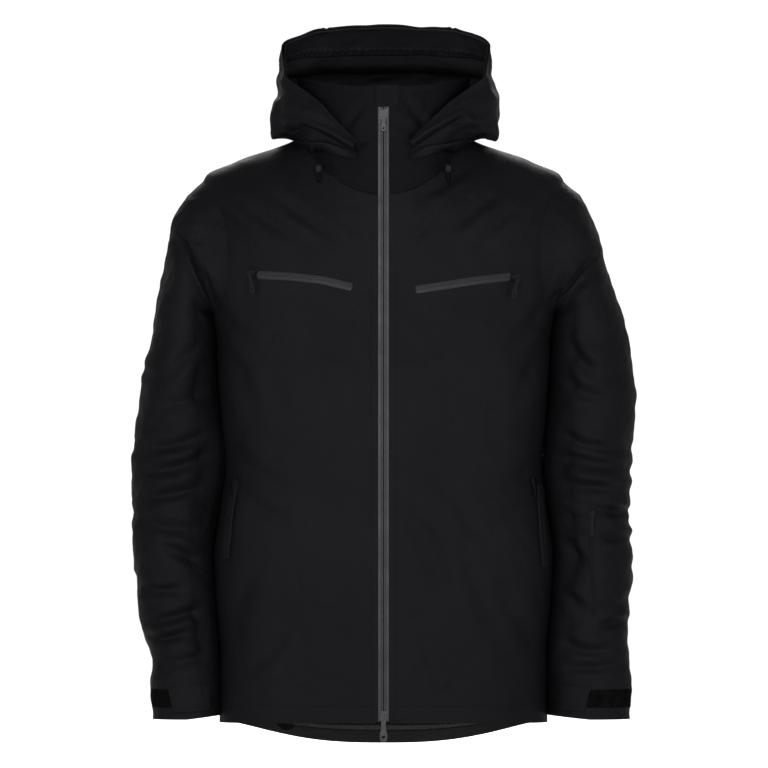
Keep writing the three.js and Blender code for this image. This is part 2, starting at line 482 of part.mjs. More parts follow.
// ---------------------------------------------------------------- sleeves
const AU = Array.from({ length: 14 }, (_, i) => (i * 360) / 14);
for (const side of ["left", "right"]) {
  const sgn = side === "left" ? 1 : -1;
  const surf = (u, t) => sleeve(sgn, u, t);
  const out = (p, u, t) => {
    const a = armAt(t);
    return p.clone().sub(new THREE.Vector3(sgn * a[0], a[1], a[2]));
  };
  // at a bend one ring is turned about the bend's axis on the side that closes, so the two shells never meet
  const bent = (t0, dLean, slope, yPivot) => (u, t) => {
    const p = surf(u, t);
    if (Math.abs(t - t0) > 1e-6) return p;
    const [cx, cy, cz, lean, r1] = armAt(t), up = Math.sin(rad(u));
    if (dLean && up > 0) {
      p.x = sgn * (cx + r1 * up * Math.sin(rad(lean + dLean)));
      p.z = cz + r1 * up * Math.cos(rad(lean + dLean));
    }
    if (slope) p.z += Math.max(0, yPivot - p.y) * slope;
    return p;
  };
  const ringed = (name, ts, off, mat, dFirst, dLast) => {
    const edges = [];
    if (dFirst) edges.push([ts[0], ...dFirst]);
    if (dLast) edges.push([ts[ts.length - 1], ...dLast]);
    const shape = (u, t) => {
      for (const [t0, dLean, slope] of edges) if (Math.abs(t - t0) < 1e-6) return bent(t0, dLean, slope, ELBOW_Y)(u, t);
      return surf(u, t);
    };
    add(name, cloth(shape, AU, ts, off, { wrap: true, outward: out }), mat);
  };
  ringed(`sleeve_head_${side}`, [0, 1, 2, 3, 3.98], [0, -SHELL_T], fabric, null, [-SHOULDER_CLEAR[0], 0]);
  ringed(`sleeve_upper_${side}`, [4.07, 5, 6, 6.98], [0, -SHELL_T], fabric, [SHOULDER_CLEAR[1], 0], [0, ELBOW_CLEAR[0]]);
  ringed(`sleeve_lower_${side}`, [7.03, 8, 9, 10, 11, 12, 13, 14], [0, -SHELL_T], fabric, [0, -ELBOW_CLEAR[1]]);
  ringed(`sleeve_lining_${side}`, [7.7, 8.2, 9, 10, 11, 12, 13, 13.7], [-2.5, -4.5], liningMat, null);
  // loop patch on the outer front of the cuff; the tab's free end covers its inner edge
  add(`cuff_loop_patch_${side}`, cloth(surf, [118, 130, 142, 154, 166], [12.75, 13.0, 13.6], [1.5, 0.4], { outward: out }), velcro);
  add(`cuff_tab_${side}`, cloth(surf, [168, 181, 194, 207, 220], [12.7, 13.0, 13.68], [3.0, 1.4], { outward: out }), fabric);
}
// forearm pocket on the wearer's left sleeve
{
  const x = 271, y0 = -66.4, z1 = 304, z0 = 158;
  add("sleeve_zip", boxAt(7, 1.3, z1 - z0, x, y0 - 2.2, (z0 + z1) / 2), zipMat);
  const s = smallSlider(7.5, 9.5);
  add("sleeve_slider", s, metal, [x, y0 - 2.85, z1 - 7]);
  add("sleeve_puller", pull(6.5, 24, 1.3), metal, [x, y0 - 8.6, z1 - 12]);
}

export default jacket;
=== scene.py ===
import bpy
import math
import numpy as np
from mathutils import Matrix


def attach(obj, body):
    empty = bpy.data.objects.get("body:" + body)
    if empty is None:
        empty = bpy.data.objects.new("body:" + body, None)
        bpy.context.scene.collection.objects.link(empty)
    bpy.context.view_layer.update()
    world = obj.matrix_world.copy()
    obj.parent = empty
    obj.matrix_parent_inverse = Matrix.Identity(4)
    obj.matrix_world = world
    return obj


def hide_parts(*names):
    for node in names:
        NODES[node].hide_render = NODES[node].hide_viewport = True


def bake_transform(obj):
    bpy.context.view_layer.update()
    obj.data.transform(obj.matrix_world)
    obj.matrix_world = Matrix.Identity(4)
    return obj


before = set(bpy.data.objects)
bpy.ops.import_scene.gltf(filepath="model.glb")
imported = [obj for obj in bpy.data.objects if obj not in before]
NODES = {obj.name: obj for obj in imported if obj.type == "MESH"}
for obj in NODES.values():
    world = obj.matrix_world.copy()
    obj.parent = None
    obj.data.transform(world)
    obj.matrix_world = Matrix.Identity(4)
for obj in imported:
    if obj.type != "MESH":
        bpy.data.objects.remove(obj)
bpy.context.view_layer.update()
OY, OZ = 72.0, 792.0
SIDES = (("left", 1), ("right", -1))


def row(p):
    p = np.asarray(p, float)
    return (p - np.array([0.0, OY, OZ])) / 1000.0


# ------------------------------------------------------------------ materials
def principled(name, color, rough=0.7, metallic=0.0, sheen=0.0, sheen_rough=0.5, coat=0.0, coat_rough=0.3, spec=0.5):
    m = bpy.data.materials.new(name)
    m.use_nodes = True
    nt = m.node_tree
    b = nt.nodes["Principled BSDF"]
    b.inputs["Base Color"].default_value = (*color, 1)
    b.inputs["Roughness"].default_value = rough
    b.inputs["Metallic"].default_value = metallic
    b.inputs["Sheen Weight"].default_value = sheen
    b.inputs["Sheen Roughness"].default_value = sheen_rough
    b.inputs["Coat Weight"].default_value = coat
    b.inputs["Coat Roughness"].default_value = coat_rough
    b.inputs["Specular IOR Level"].default_value = spec
    return m, nt, b


def node(nt, kind, **inputs):
    n = nt.nodes.new(kind)
    for k, v in inputs.items():
        n.inputs[k.replace("_", " ")].default_value = v
    return n


def math_node(nt, op, a, b=None):
    n = nt.nodes.new("ShaderNodeMath")
    n.operation = op
    for i, v in enumerate((a, b)):
        if v is None:
            continue
        if isinstance(v, (int, float)):
            n.inputs[i].default_value = v
        else:
            nt.links.new(v, n.inputs[i])
    return n.outputs[0]


def coords(nt, uv):
    t = nt.nodes.new("ShaderNodeTexCoord")
    return t.outputs["UV" if uv else "Object"]


def vary(nt, b, color, src, scale, amount):
    """Colour variation of the cloth: a little darker and lighter in soft patches."""
    n = node(nt, "ShaderNodeTexNoise", Scale=scale, Detail=5.0, Roughness=0.6)
    nt.links.new(src, n.inputs["Vector"])
    r = nt.nodes.new("ShaderNodeValToRGB")
    r.color_ramp.elements[0].position = 0.3
    r.color_ramp.elements[1].position = 0.7
    r.color_ramp.elements[0].color = (*[c * (1 - amount) for c in color], 1)
    r.color_ramp.elements[1].color = (*[c * (1 + amount) for c in color], 1)
    nt.links.new(n.outputs["Fac"], r.inputs["Fac"])
    nt.links.new(r.outputs["Color"], b.inputs["Base Color"])
    return n


def bumped(nt, b, layers):
    """layers: (height socket, strength, distance in metres), chained."""
    prev = None
    for h, s, d in layers:
        n = node(nt, "ShaderNodeBump", Strength=s, Distance=d)
        nt.links.new(h, n.inputs["Height"])
        if prev is not None:
            nt.links.new(prev, n.inputs["Normal"])
        prev = n.outputs["Normal"]
    nt.links.new(prev, b.inputs["Normal"])


def cloth_material(name, color, rough, sheen, thread=0.0007, wrinkle=1.0, uv=True, spec=0.35, twill=False, amount=0.16):
    m, nt, b = principled(name, color, rough, sheen=sheen, sheen_rough=0.45, spec=spec)
    obj = coords(nt, False)
    vary(nt, b, color, obj, 9.0, amount)
    src = coords(nt, uv)
    f = 2 * math.pi / thread
    sep = nt.nodes.new("ShaderNodeSeparateXYZ")
    nt.links.new(src, sep.inputs[0])
    u = math_node(nt, "MULTIPLY", sep.outputs[0], f)
    v = math_node(nt, "MULTIPLY", sep.outputs[1 if uv else 2], f)
    if twill:
        u = math_node(nt, "ADD", u, v)
    weave = math_node(nt, "MULTIPLY", math_node(nt, "SINE", u), math_node(nt, "SINE", v))
    fine = node(nt, "ShaderNodeTexNoise", Scale=420.0, Detail=3.0)
    soft = node(nt, "ShaderNodeTexNoise", Scale=34.0, Detail=6.0, Roughness=0.62, Distortion=0.6)
    crease = node(nt, "ShaderNodeTexNoise", Scale=11.0, Detail=5.0, Roughness=0.55, Distortion=1.1)
    for n in (fine, soft, crease):
        nt.links.new(obj, n.inputs["Vector"])
    # ridged noise makes the small dry creases of a coated cloth
    ridge = math_node(nt, "ABSOLUTE", math_node(nt, "SUBTRACT", crease.outputs["Fac"], 0.5))
    bumped(nt, b, [(ridge, 0.35 * wrinkle, 0.012), (soft.outputs["Fac"], 0.28 * wrinkle, 0.004), (fine.outputs["Fac"], 0.12, 0.0005), (weave, 0.28, 0.0002)])
    return m


SHELL = cloth_material("shell_cloth", (0.0013, 0.0013, 0.0016), 0.62, 0.0, spec=0.015)
SLEEVE = cloth_material("sleeve_cloth", (0.0012, 0.0012, 0.0015), 0.62, 0.0, wrinkle=1.25, spec=0.015)
FACING = cloth_material("facing_cloth", (0.0019, 0.0019, 0.0023), 0.62, 0.0, wrinkle=0.7, spec=0.02)
LINING = cloth_material("lining_taffeta", (0.0022, 0.0022, 0.0027), 0.5, 0.0, thread=0.0004, spec=0.03, wrinkle=1.1)
TAIL = cloth_material("tail_facing_cloth", (0.0062, 0.0062, 0.0068), 0.55, 0.0, spec=0.03)
# the collar's cloth is a darker copy of the shell cloth: painted shade, where the collar lies under the hood
COLLAR_PAINTED_SHADE = cloth_material("collar_cloth_painted_shade", (0.0008, 0.0008, 0.0010), 0.62, 0.0, spec=0.012)
# the hood's roof lining is a darker copy of the lining taffeta: painted shade over the bar where its underside catches
# the light
ROOF_LINING_PAINTED_SHADE = cloth_material("hood_roof_taffeta_painted_shade", (0.0026, 0.0026, 0.0031), 0.5, 0.0, thread=0.0004, spec=0.03, wrinkle=1.1)
# the hood's lower lining is a much lighter copy of the lining taffeta: painted light in the shade deep inside the hood
HOOD_LINING_PAINTED_LIGHT = cloth_material("hood_lining_taffeta_painted_light", (0.0110, 0.0110, 0.0125), 0.5, 0.0, thread=0.0004, spec=0.03, wrinkle=1.1)
HEM_BAND = cloth_material("hem_band", (0.0040, 0.0040, 0.0045), 0.34, 0.0, thread=0.0005, spec=0.12, wrinkle=1.4)
WADDING = cloth_material("wadding_fibre", (0.55, 0.55, 0.53), 0.95, 0.3, wrinkle=2.2, uv=False, amount=0.08)
CORD = cloth_material("cord_braid", (0.0005, 0.0005, 0.0006), 0.75, 0.0, spec=0.008, thread=0.0012, uv=False, twill=True, wrinkle=0.2)


def loop_material():
    m, nt, b = principled("loop_pile", (0.0007, 0.0007, 0.0008), 0.95, sheen=0.0, spec=0.005)
    obj = coords(nt, False)
    vary(nt, b, (0.0007, 0.0007, 0.0008), obj, 160.0, 0.5)
    pile = node(nt, "ShaderNodeTexVoronoi", Scale=900.0)
    tuft = node(nt, "ShaderNodeTexNoise", Scale=260.0, Detail=4.0)
    for n in (pile, tuft):
        nt.links.new(obj, n.inputs["Vector"])
    bumped(nt, b, [(tuft.outputs["Fac"], 0.7, 0.001), (pile.outputs["Distance"], 0.8, 0.0006)])
    return m


def zip_material(name, color, rough):
    m, nt, b = principled(name, color, rough, coat=0.0, coat_rough=0.28, spec=0.06)
    obj = coords(nt, False)
    vary(nt, b, color, obj, 26.0, 0.12)
    n = node(nt, "ShaderNodeTexNoise", Scale=300.0, Detail=3.0)
    r = node(nt, "ShaderNodeTexNoise", Scale=45.0, Detail=3.0)
    for k in (n, r):
        nt.links.new(obj, k.inputs["Vector"])
    ramp = node(nt, "ShaderNodeMapRange", From_Min=0.3, From_Max=0.7, To_Min=rough - 0.06, To_Max=rough + 0.1)
    nt.links.new(r.outputs["Fac"], ramp.inputs["Value"])
    nt.links.new(ramp.outputs[0], b.inputs["Roughness"])
    bumped(nt, b, [(n.outputs["Fac"], 0.2, 0.0003)])
    return m


def hard_material(name, color, rough, metallic, grain):
    m, nt, b = principled(name, color, rough, metallic=metallic, coat=0.0, spec=0.02)
    obj = coords(nt, False)
    vary(nt, b, color, obj, 180.0, 0.25)
    n = node(nt, "ShaderNodeTexNoise", Scale=grain, Detail=4.0)
    nt.links.new(obj, n.inputs["Vector"])
    ramp = node(nt, "ShaderNodeMapRange", From_Min=0.3, From_Max=0.7, To_Min=rough - 0.08, To_Max=rough + 0.14)
    nt.links.new(n.outputs["Fac"], ramp.inputs["Value"])
    nt.links.new(ramp.outputs[0], b.inputs["Roughness"])
    bumped(nt, b, [(n.outputs["Fac"], 0.15, 0.0003)])
    return m


TAPE = cloth_material("woven_tape", (0.0030, 0.0030, 0.0034), 0.7, 0.0, thread=0.0016, spec=0.03, uv=False, twill=True, wrinkle=0.3)
LOOP = loop_material()
ZIP = zip_material("coated_zip", (0.0039, 0.0041, 0.0046), 0.42)
CHEST_ZIP = zip_material("welded_zip", (0.0021, 0.0020, 0.0024), 0.47)
METAL = hard_material("zip_metal", (0.0075, 0.0075, 0.008), 0.36, 0.8, 900.0)
DARK_METAL = hard_material("dark_zip_metal", (0.0012, 0.0012, 0.0013), 0.46, 0.6, 900.0)
PLASTIC = hard_material("black_plastic", (0.0006, 0.0006, 0.0007), 0.4, 0.0, 500.0)
THREAD = cloth_material("stitching", (0.0018, 0.0018, 0.0021), 0.6, 0.0, spec=0.02, thread=0.0008, uv=False, wrinkle=0.1)


# ------------------------------------------------------------------ the surfaces, as in the part
def zip_y(z):
    z = np.asarray(z, float)
    return np.where(z <= 420, -142.0, -142 + (z - 420) * (-116 + 142) / (852 - 420))


def zy(z):
    return float(zip_y(z))


RINGS = np.array([
    [214, -142, 118, 2.7, 28, 26, -6],
    [213, -142, 119, 2.7, 64, 62, 44],
    [213, -142, 120, 2.7, 120, 118, 108],
    [218, -142, 118, 2.7, 182, 181, 174],
    [221, -142, 115, 2.7, 243, 243, 240],
    [213, -142, 112, 2.7, 300, 302, 302],
    [206, -142, 111, 2.7, 352, 358, 358],
    [211, -142, 113, 2.7, 400, 414, 410],
    [215, zy(445), 117, 2.8, 445, 465, 460],
    [217, zy(492), 120, 2.8, 492, 515, 510],
    [218, zy(538), 121, 2.8, 538, 562, 560],
    [222, zy(588), 119, 2.7, 588, 650, 616],
    [233, zy(636), 114, 2.5, 636, 733, 680],
    [190, zy(676), 106, 2.4, 676, 758, 738],
    [110, zy(714), 92, 2.2, 714, 792, 785],
    [112, zy(782), 88, 2.2, 782, 832, 827],
    [113, zy(852), 86, 2.2, 852, 866, 846],
], float)

ARM = np.array([
    [225, -8, 640, 8, 80, 74],
    [238.3, -7, 636.5, 13, 78.5, 76],
    [248.5, -5, 619, 23.5, 66.5, 77],
    [255, -3, 593.8, 40, 49.9, 77],
    [261, 0, 559, 73.4, 38.6, 77],
    [264, 2, 512, 86, 42, 77],
    [270.5, 3, 440, 90, 50, 75],
    [271, 2, 360, 90, 55, 69],
    [275, -1, 300, 90, 52, 64],
    [276.5, -6, 243, 90, 48.5, 60],
    [271, -10, 190, 90, 47, 57],
    [266, -14, 140, 90, 46, 54],
    [266, -18, 90, 90, 46, 51],
    [265.5, -20, 60, 90, 45, 49],
    [264, -22, 26, 90, 43, 47],
], float)

HOOD_S = np.array([0.0, 0.3, 0.6, 0.8, 0.9, 1.0])
HOOD = np.array([
    [[0, 101, 796], [0, 142, 806], [0, 168, 828], [0, 164, 860], [0, 116, 880], [0, 46, 889], [0, -12, 934]],
    [[66, 92, 799], [90, 122, 808], [105, 144, 830], [106, 136, 858], [98, 100, 877], [90, 36, 887], [82, -15, 930]],
    [[124, 33, 799], [141, 46, 795], [148, 56, 818], [148, 58, 848], [144, 40, 864], [140, 10, 876], [134, -22, 907]],
    [[127, -47, 790], [144, -42, 785], [149, -38, 799], [149, -38, 822], [146, -46, 836], [141, -54, 848], [133, -60, 870]],
    [[97, -97, 777], [105, -98, 774], [108, -98, 786], [107, -100, 803], [102, -102, 816], [95, -103, 825], [87, -103, 832]],
    [[37, -128, 757], [39, -130, 761], [40, -131, 766], [39, -131, 771], [38, -130, 775], [36, -129, 778], [33, -128, 781]],
], float)


def hermite(table, t, xs=None):
    """Smooth interpolation of the rows of a table that doesn't overshoot them."""
    n = len(table)
    xs = np.arange(n, dtype=float) if xs is None else xs
    shape = (-1,) + (1,) * (table.ndim - 1)
    h = np.diff(xs)
    d = np.diff(table, axis=0) / h.reshape(shape)
    m = np.zeros_like(table)
    m[0], m[-1] = d[0], d[-1]
    same = d[:-1] * d[1:] > 0
    den = d[:-1] + d[1:]
    m[1:-1] = np.where(same, 2 * d[:-1] * d[1:] / np.where(np.abs(den) < 1e-12, 1, den), 0)
    t = np.clip(np.asarray(t, float), xs[0], xs[-1])
    i = np.clip(np.searchsorted(xs, t, side="right") - 1, 0, n - 2)
    f = (t - xs[i]) / h[i]
    ex = t.shape + (1,) * (table.ndim - 1)
    f, hh = f.reshape(ex), h[i].reshape(ex)
    f2, f3 = f * f, f * f * f
    return (2 * f3 - 3 * f2 + 1) * table[i] + (f3 - 2 * f2 + f) * hh * m[i] + (3 * f2 - 2 * f3) * table[i + 1] + (f3 - f2) * hh * m[i + 1]


def spow(x, p):
    return np.sign(x) * np.abs(x) ** p


def torso(deg, v):
    deg, v = np.broadcast_arrays(np.asarray(deg, float), np.asarray(v, float))
    r = hermite(RINGS, v)
    a, yf, yb, n, zf, zs, zb = [r[..., k] for k in range(7)]
    c, s = np.cos(np.radians(deg)), np.sin(np.radians(deg))
    mid = (yf + yb) / 2 + 2
    x = a * spow(c, 2 / n)
    q = spow(s, 2 / n)
    y = np.where(q > 0, mid + q * (yb - mid), mid + q * (mid - yf))
    # the tail's edge is pointed, and the rings above it even out
    k = 2 + 2.1 * np.clip(1 - v / 1.6, 0, 1)
    z = zs + np.where(q > 0, (zb - zs) * np.clip(q, 0, 1) ** k, (zf - zs) * q * q)
    return np.stack([x, y, z], -1)


# the arms as they hang: height, inner edge, outer edge (millimetres from the zip)
HANG = {
    1: np.array([[620, 226, 300], [576, 225, 307], [537, 224, 318], [498, 221, 325], [459, 215, 329], [420, 213, 328], [381, 213, 325], [342, 218, 325], [303, 222, 320],
                 [264, 227, 324], [225, 227, 325], [186, 222, 322], [147, 219, 319], [108, 216, 321], [69, 215, 323], [26, 214, 321]], float),
    -1: np.array([[620, 226, 292], [576, 227, 298], [537, 225, 303], [498, 221, 310], [459, 216, 317], [420, 209, 323], [381, 202, 328], [342, 204, 330], [303, 213, 328],
                  [264, 219, 328], [225, 221, 326], [186, 218, 322], [147, 215, 314], [108, 213, 304], [69, 211, 303], [26, 211, 300]], float),
}


def arm_center(side, t):
    r = hermite(ARM, t)
    return np.stack([side * r[..., 0], r[..., 1], r[..., 2]], -1)


def sleeve(side, deg, t):
    deg, t = np.broadcast_arrays(np.asarray(deg, float), np.asarray(t, float))
    up, back = np.sin(np.radians(deg)), np.cos(np.radians(deg))
    r = hermite(ARM[1:], np.clip(t - 1, 0, 99))
    cx, cy, cz, lean, r1, ry = [r[..., k] for k in range(6)]
    # a sleeve is a little squarer than an ellipse
    u2, b2 = spow(up, 0.92), spow(back, 0.92)
    p = np.stack([side * (cx + r1 * u2 * np.sin(np.radians(lean))), cy + ry * b2, cz + r1 * u2 * np.cos(np.radians(lean))], -1)
    # the arm hangs between its inner edge, resting on the body, and its outer edge
    hang = HANG[int(side)][::-1]
    inner, outer = np.interp(p[..., 2], hang[:, 0], hang[:, 1]), np.interp(p[..., 2], hang[:, 0], hang[:, 2])
    order = np.argsort(RINGS[:, 5])
    inner = np.minimum(inner, np.interp(p[..., 2], RINGS[order, 5], RINGS[order, 0]) + 0.4)
    reach = np.clip((t - 2.6) / 1.0, 0, 1)
    k = (side * p[..., 0] - (cx - r1)) / (2 * r1)
    # the back of the inner side wraps a little behind the body
    wrap = 9.5 * np.clip(-u2, 0, 1) ** 2 * np.exp(-(((b2 - 0.55) / 0.3) ** 2))
    p[..., 0] = p[..., 0] * (1 - reach) + side * (inner + k * (outer - inner) - wrap) * reach
    # the cuff's edge is higher on the inner side
    p[..., 2] += 6.0 * np.clip(-u2, 0, 1) * np.clip((t - 12) / 2, 0, 1)
    # the armhole seam lies on the torso
    m = (np.abs(up) ** 3.4 + np.abs(back) ** 3.4) ** (1 / 3.4) / 1.03
    h, g = back / m, up / m
    seam = torso(np.where(side > 0, 30 * h, 180 - 30 * h), 11 + g)
    w = np.clip(1 - t, 0, 1)[..., None]
    w = w * w * (3 - 2 * w) * 0.35 + w * 0.65
    return p * (1 - w) + seam * w


def hood(s, w):
    s, w = np.broadcast_arrays(np.asarray(s, float), np.asarray(w, float))
    q = np.abs(s)
    full = np.concatenate([HOOD[1:2] * np.array([-1, 1, 1]), HOOD])
    prof = hermite(full, q, np.concatenate([[-0.3], HOOD_S]))  # (..., 7, 3)
    # along the profile
    out = np.zeros(s.shape + (3,))
    k = np.clip(np.floor(w).astype(int), 0, 5)
    f = (w - k)[..., None]
    take = lambda i: np.take_along_axis(prof, np.clip(i, 0, 6)[..., None, None].repeat(3, -1), axis=-2)[..., 0, :]
    p0, p1, p2, p3 = take(k - 1), take(k), take(k + 1), take(k + 2)
    out = 0.5 * (2 * p1 + (p2 - p0) * f + (2 * p0 - 5 * p1 + 4 * p2 - p3) * f * f + (3 * p1 - p0 - 3 * p2 + p3) * f ** 3)
    # the brim is a soft roll, not a straight ramp
    lip = np.clip(w - 5, 0, 1)
    out[..., 2] += 8.5 * 4 * lip * (1 - lip) * np.exp(-((s / 0.8) ** 6))
    # worn, it sits a little to the wearer's left at the top and is flatter on the right
    high = np.clip((out[..., 2] - 870) / 60, 0, 1)
    out[..., 0] *= np.where(s < 0, -1 + 0.055 * np.exp(-(((out[..., 2] - 845) / 28) ** 2)), 1)
    out[..., 0] += 8 * high
    return out


def normals(P, outward):
    """Unit normals of a grid of points, turned to the side that outward() gives."""
    du = np.gradient(P, axis=0)
    dv = np.gradient(P, axis=1)
    n = np.cross(du, dv)
    n /= np.maximum(np.linalg.norm(n, axis=-1, keepdims=True), 1e-9)
    flip = np.sign(np.sum(n * outward, -1, keepdims=True))
    flip[flip == 0] = 1
    return n * flip


# ------------------------------------------------------------------ the shoulder, one smooth surface over the armhole seam
def around(deg, v):
    """Where a torso point lies about the armhole seam: 1 on the seam, larger outside."""
    du = np.mod(np.asarray(deg, float) + 180, 360) - 180
    hh = np.where(np.abs(du) < 90, np.abs(du) / 30, (180 - np.abs(du)) / 30)
    return (hh ** 3.4 + np.abs(v - 11) ** 3.4) ** (1 / 3.4)


T_DEG, T_V = np.linspace(-75, 75, 61), np.linspace(8.6, 13.6, 51)
S_DEG, S_T = np.linspace(0, 360, 73), np.linspace(0, 3.4, 35)


def shoulder_lift():
    """Displacement along the normals that makes the body and the sleeve flow into each other."""
    A = torso(T_DEG[:, None], T_V[None, :])
    NA = normals(A, A * np.array([1.0, 1.4, 0]) + np.array([0, 0, 20.0]))
    B = sleeve(1, S_DEG[:, None], S_T[None, :])
    NB = normals(B, B - arm_center(1, S_T[None, :] * np.ones((73, 1))) + np.array([8.0, 0, 0]))
    m = around(T_DEG[:, None], T_V[None, :])
    wa = np.clip((2.3 - m) / 1.0, 0, 1)
    wa = wa * wa * (3 - 2 * wa)
    wb = np.clip((3.0 - S_T) / 1.6, 0, 1)[None, :] * np.ones((73, 1))
    wb = wb * wb * (3 - 2 * wb)
    use = np.concatenate([(m > 0.98).ravel(), np.ones(B.shape[0] * B.shape[1], bool)])
    P = np.concatenate([A.reshape(-1, 3), B.reshape(-1, 3)])
    N = np.concatenate([NA.reshape(-1, 3), NB.reshape(-1, 3)])
    w = np.concatenate([wa.ravel(), wb.ravel()])
    X = P.astype(np.float32)
    n = len(X)
    total = np.zeros(n)
    X = X - X.mean(0)
    q = (X ** 2).sum(1)
    d2 = np.maximum(q[:, None] + q[None] - 2 * X @ X.T, 0)
    M = N.astype(np.float32)
    W = np.exp(-d2 / np.float32(2 * 11.0 ** 2)) * np.clip(M @ M.T, 0, 1) * use.astype(np.float32)[None, :]
    W /= np.maximum(W.sum(1, keepdims=True), 1e-6)
    Y = P.copy()
    for k in range(44):
        step = ((W @ Y - Y) * N).sum(1) * w * 0.8
        step = np.where(total < 15, np.clip(step, 0, 2), 0)
        total += step
        Y += N * step[:, None]
    # what is left between the two is closed at the seam
    return total[: A.shape[0] * A.shape[1]].reshape(A.shape[:2]), total[A.shape[0] * A.shape[1]:].reshape(B.shape[:2])


def bilinear(G, xs, ys, x, y):
    x, y = np.clip(x, xs[0], xs[-1]), np.clip(y, ys[0], ys[-1])
    i = np.clip(((x - xs[0]) / (xs[1] - xs[0])).astype(int), 0, len(xs) - 2)
    j = np.clip(((y - ys[0]) / (ys[1] - ys[0])).astype(int), 0, len(ys) - 2)
    f, g = (x - xs[i]) / (xs[1] - xs[0]), (y - ys[j]) / (ys[1] - ys[0])
    return G[i, j] * (1 - f) * (1 - g) + G[i + 1, j] * f * (1 - g) + G[i, j + 1] * (1 - f) * g + G[i + 1, j + 1] * f * g


LIFT_T, LIFT_S = shoulder_lift()


def torso_lift(deg, v):
    du = np.mod(deg + 180, 360) - 180
    du = np.where(np.abs(du) <= 90, du, (180 - np.abs(du)) * np.sign(du))
    inside = (np.abs(du) <= 75) & (v >= 8.6) & (v <= 13.6)
    return np.where(inside, bilinear(LIFT_T, T_DEG, T_V, du, v * np.ones_like(du)), 0)


def sleeve_lift(deg, t):
    deg, t = np.broadcast_arrays(np.mod(deg, 360.0), t)
    return np.where(t < 3.4, bilinear(LIFT_S, S_DEG, S_T, deg, t), 0)


# ------------------------------------------------------------------ folds
def fold(Q, line, width, depth, ridge=0.55):
    """A valley along a line with a soft ridge beside it, over points Q (n, 2) in millimetres."""
    best = np.full(len(Q), 1e9)
    signed = np.zeros(len(Q))
    along = np.zeros(len(Q))
    seg = np.diff(line, axis=0)
    ln = np.linalg.norm(seg, axis=1)
    total = ln.sum()
    start = 0.0
    for a, d, l in zip(line[:-1], seg, ln):
        t = np.clip(((Q - a) @ d) / (l * l), 0, 1)
        near = a + t[:, None] * d
        off = Q - near
        dist = np.linalg.norm(off, axis=1)
        side = np.sign(d[0] * off[:, 1] - d[1] * off[:, 0])
        hit = dist < best
        best = np.where(hit, dist, best)
        signed = np.where(hit, side * dist, signed)
        along = np.where(hit, (start + t * l) / total, along)
        start += l
    taper = np.sin(np.pi * np.clip(along, 0.02, 0.98)) ** 0.7
    return depth * taper * (-np.exp(-((best / width) ** 2)) + ridge * np.exp(-(((signed - 1.7 * width) / (1.1 * width)) ** 2)) + 0.4 * ridge * np.exp(-(((signed + 2.0 * width) / (1.3 * width)) ** 2)))


def waves(P, seed, scale, n=14, aniso=(1, 1, 1)):
    """Smooth random relief, about -1 to 1, from a few sines."""
    r = np.random.default_rng(seed)
    out = np.zeros(P.shape[:-1])
    for _ in range(n):
        k = r.normal(size=3) * np.array(aniso)
        k = k / np.linalg.norm(k) * (2 * math.pi / (scale * r.uniform(0.6, 1.6)))
        out += np.sin(P @ k + r.uniform(0, 6.28)) * r.uniform(0.5, 1)
    return out / math.sqrt(n)


FRONT_FOLDS = [
    ([(-197, 711.2), (-141.1, 672.2), (-93, 643.6)], 9, 4.0), ([(-147.6, 719), (-95.5, 677.4), (-48.8, 646.2)], 8, 3.2),
    ([(-230.8, 693), (-202.2, 677.4), (-176.2, 661.8)], 8, 3.2), ([(116.4, 752.8), (80, 726.8), (50.1, 709.9)], 7, 3.0),
    ([(148.8, 717.7), (112.5, 687.8), (80, 664.4)], 9, 3.6), ([(171, 698.2), (147.6, 674.8), (125.5, 652.7)], 8, 3.4),
    ([(63.1, 685.2), (44.9, 661.8), (29.2, 642.3)], 8, 2.8), ([(-51.4, 690.4), (-35.8, 664.4), (-25.4, 633.2)], 8, 2.2),
    ([(12.3, 322.5), (54, 266.6), (93, 179.5)], 13, 3.4), ([(68.2, 345.9), (99.5, 309.5), (128.1, 262.7)], 11, 3.0),
    ([(104.7, 236.7), (129.3, 186), (148.8, 141.8)], 12, 3.2), ([(142.3, 209.4), (177.5, 160), (208.7, 109.3)], 12, 3.6),
    ([(-122.9, 147), (-150.2, 118.4), (-176.2, 91.1)], 11, 3.2), ([(-167.1, 238), (-186.6, 186), (-193.1, 121)], 13, 3.0),
    ([(-204.8, 394), (-171, 355), (-132, 326.4)], 13, 3.8), ([(-202.2, 355), (-165.8, 309.5), (-119, 279.6)], 12, 3.2),
    ([(213.8, 378.4), (180.1, 344.6), (146.2, 326.4)], 12, 3.6), ([(211.2, 334.2), (172.2, 305.6), (133.2, 277)], 12, 3.0),
    ([(-223, 537), (-186.6, 482.4), (-165.8, 420)], 12, 3.6), ([(216.5, 530.5), (190.5, 482.4), (167.1, 433)], 12, 3.4),
    ([(-217.8, 576), (-197, 537), (-158, 511)], 9, 3.4), ([(213.8, 581.2), (195.7, 547.4), (161.8, 518.8)], 9, 3.4),
    ([(-108.5, 537), (-69.5, 511), (-22.8, 503.2)], 12, 1.8), ([(21.4, 508.4), (73.5, 513.6), (112.5, 537)], 12, 1.8),
    ([(-17.6, 238), (-41, 186), (-48.8, 121)], 13, 2.2), ([(34.5, 134), (52.6, 92.4), (60.5, 56)], 11, 2.4),
]
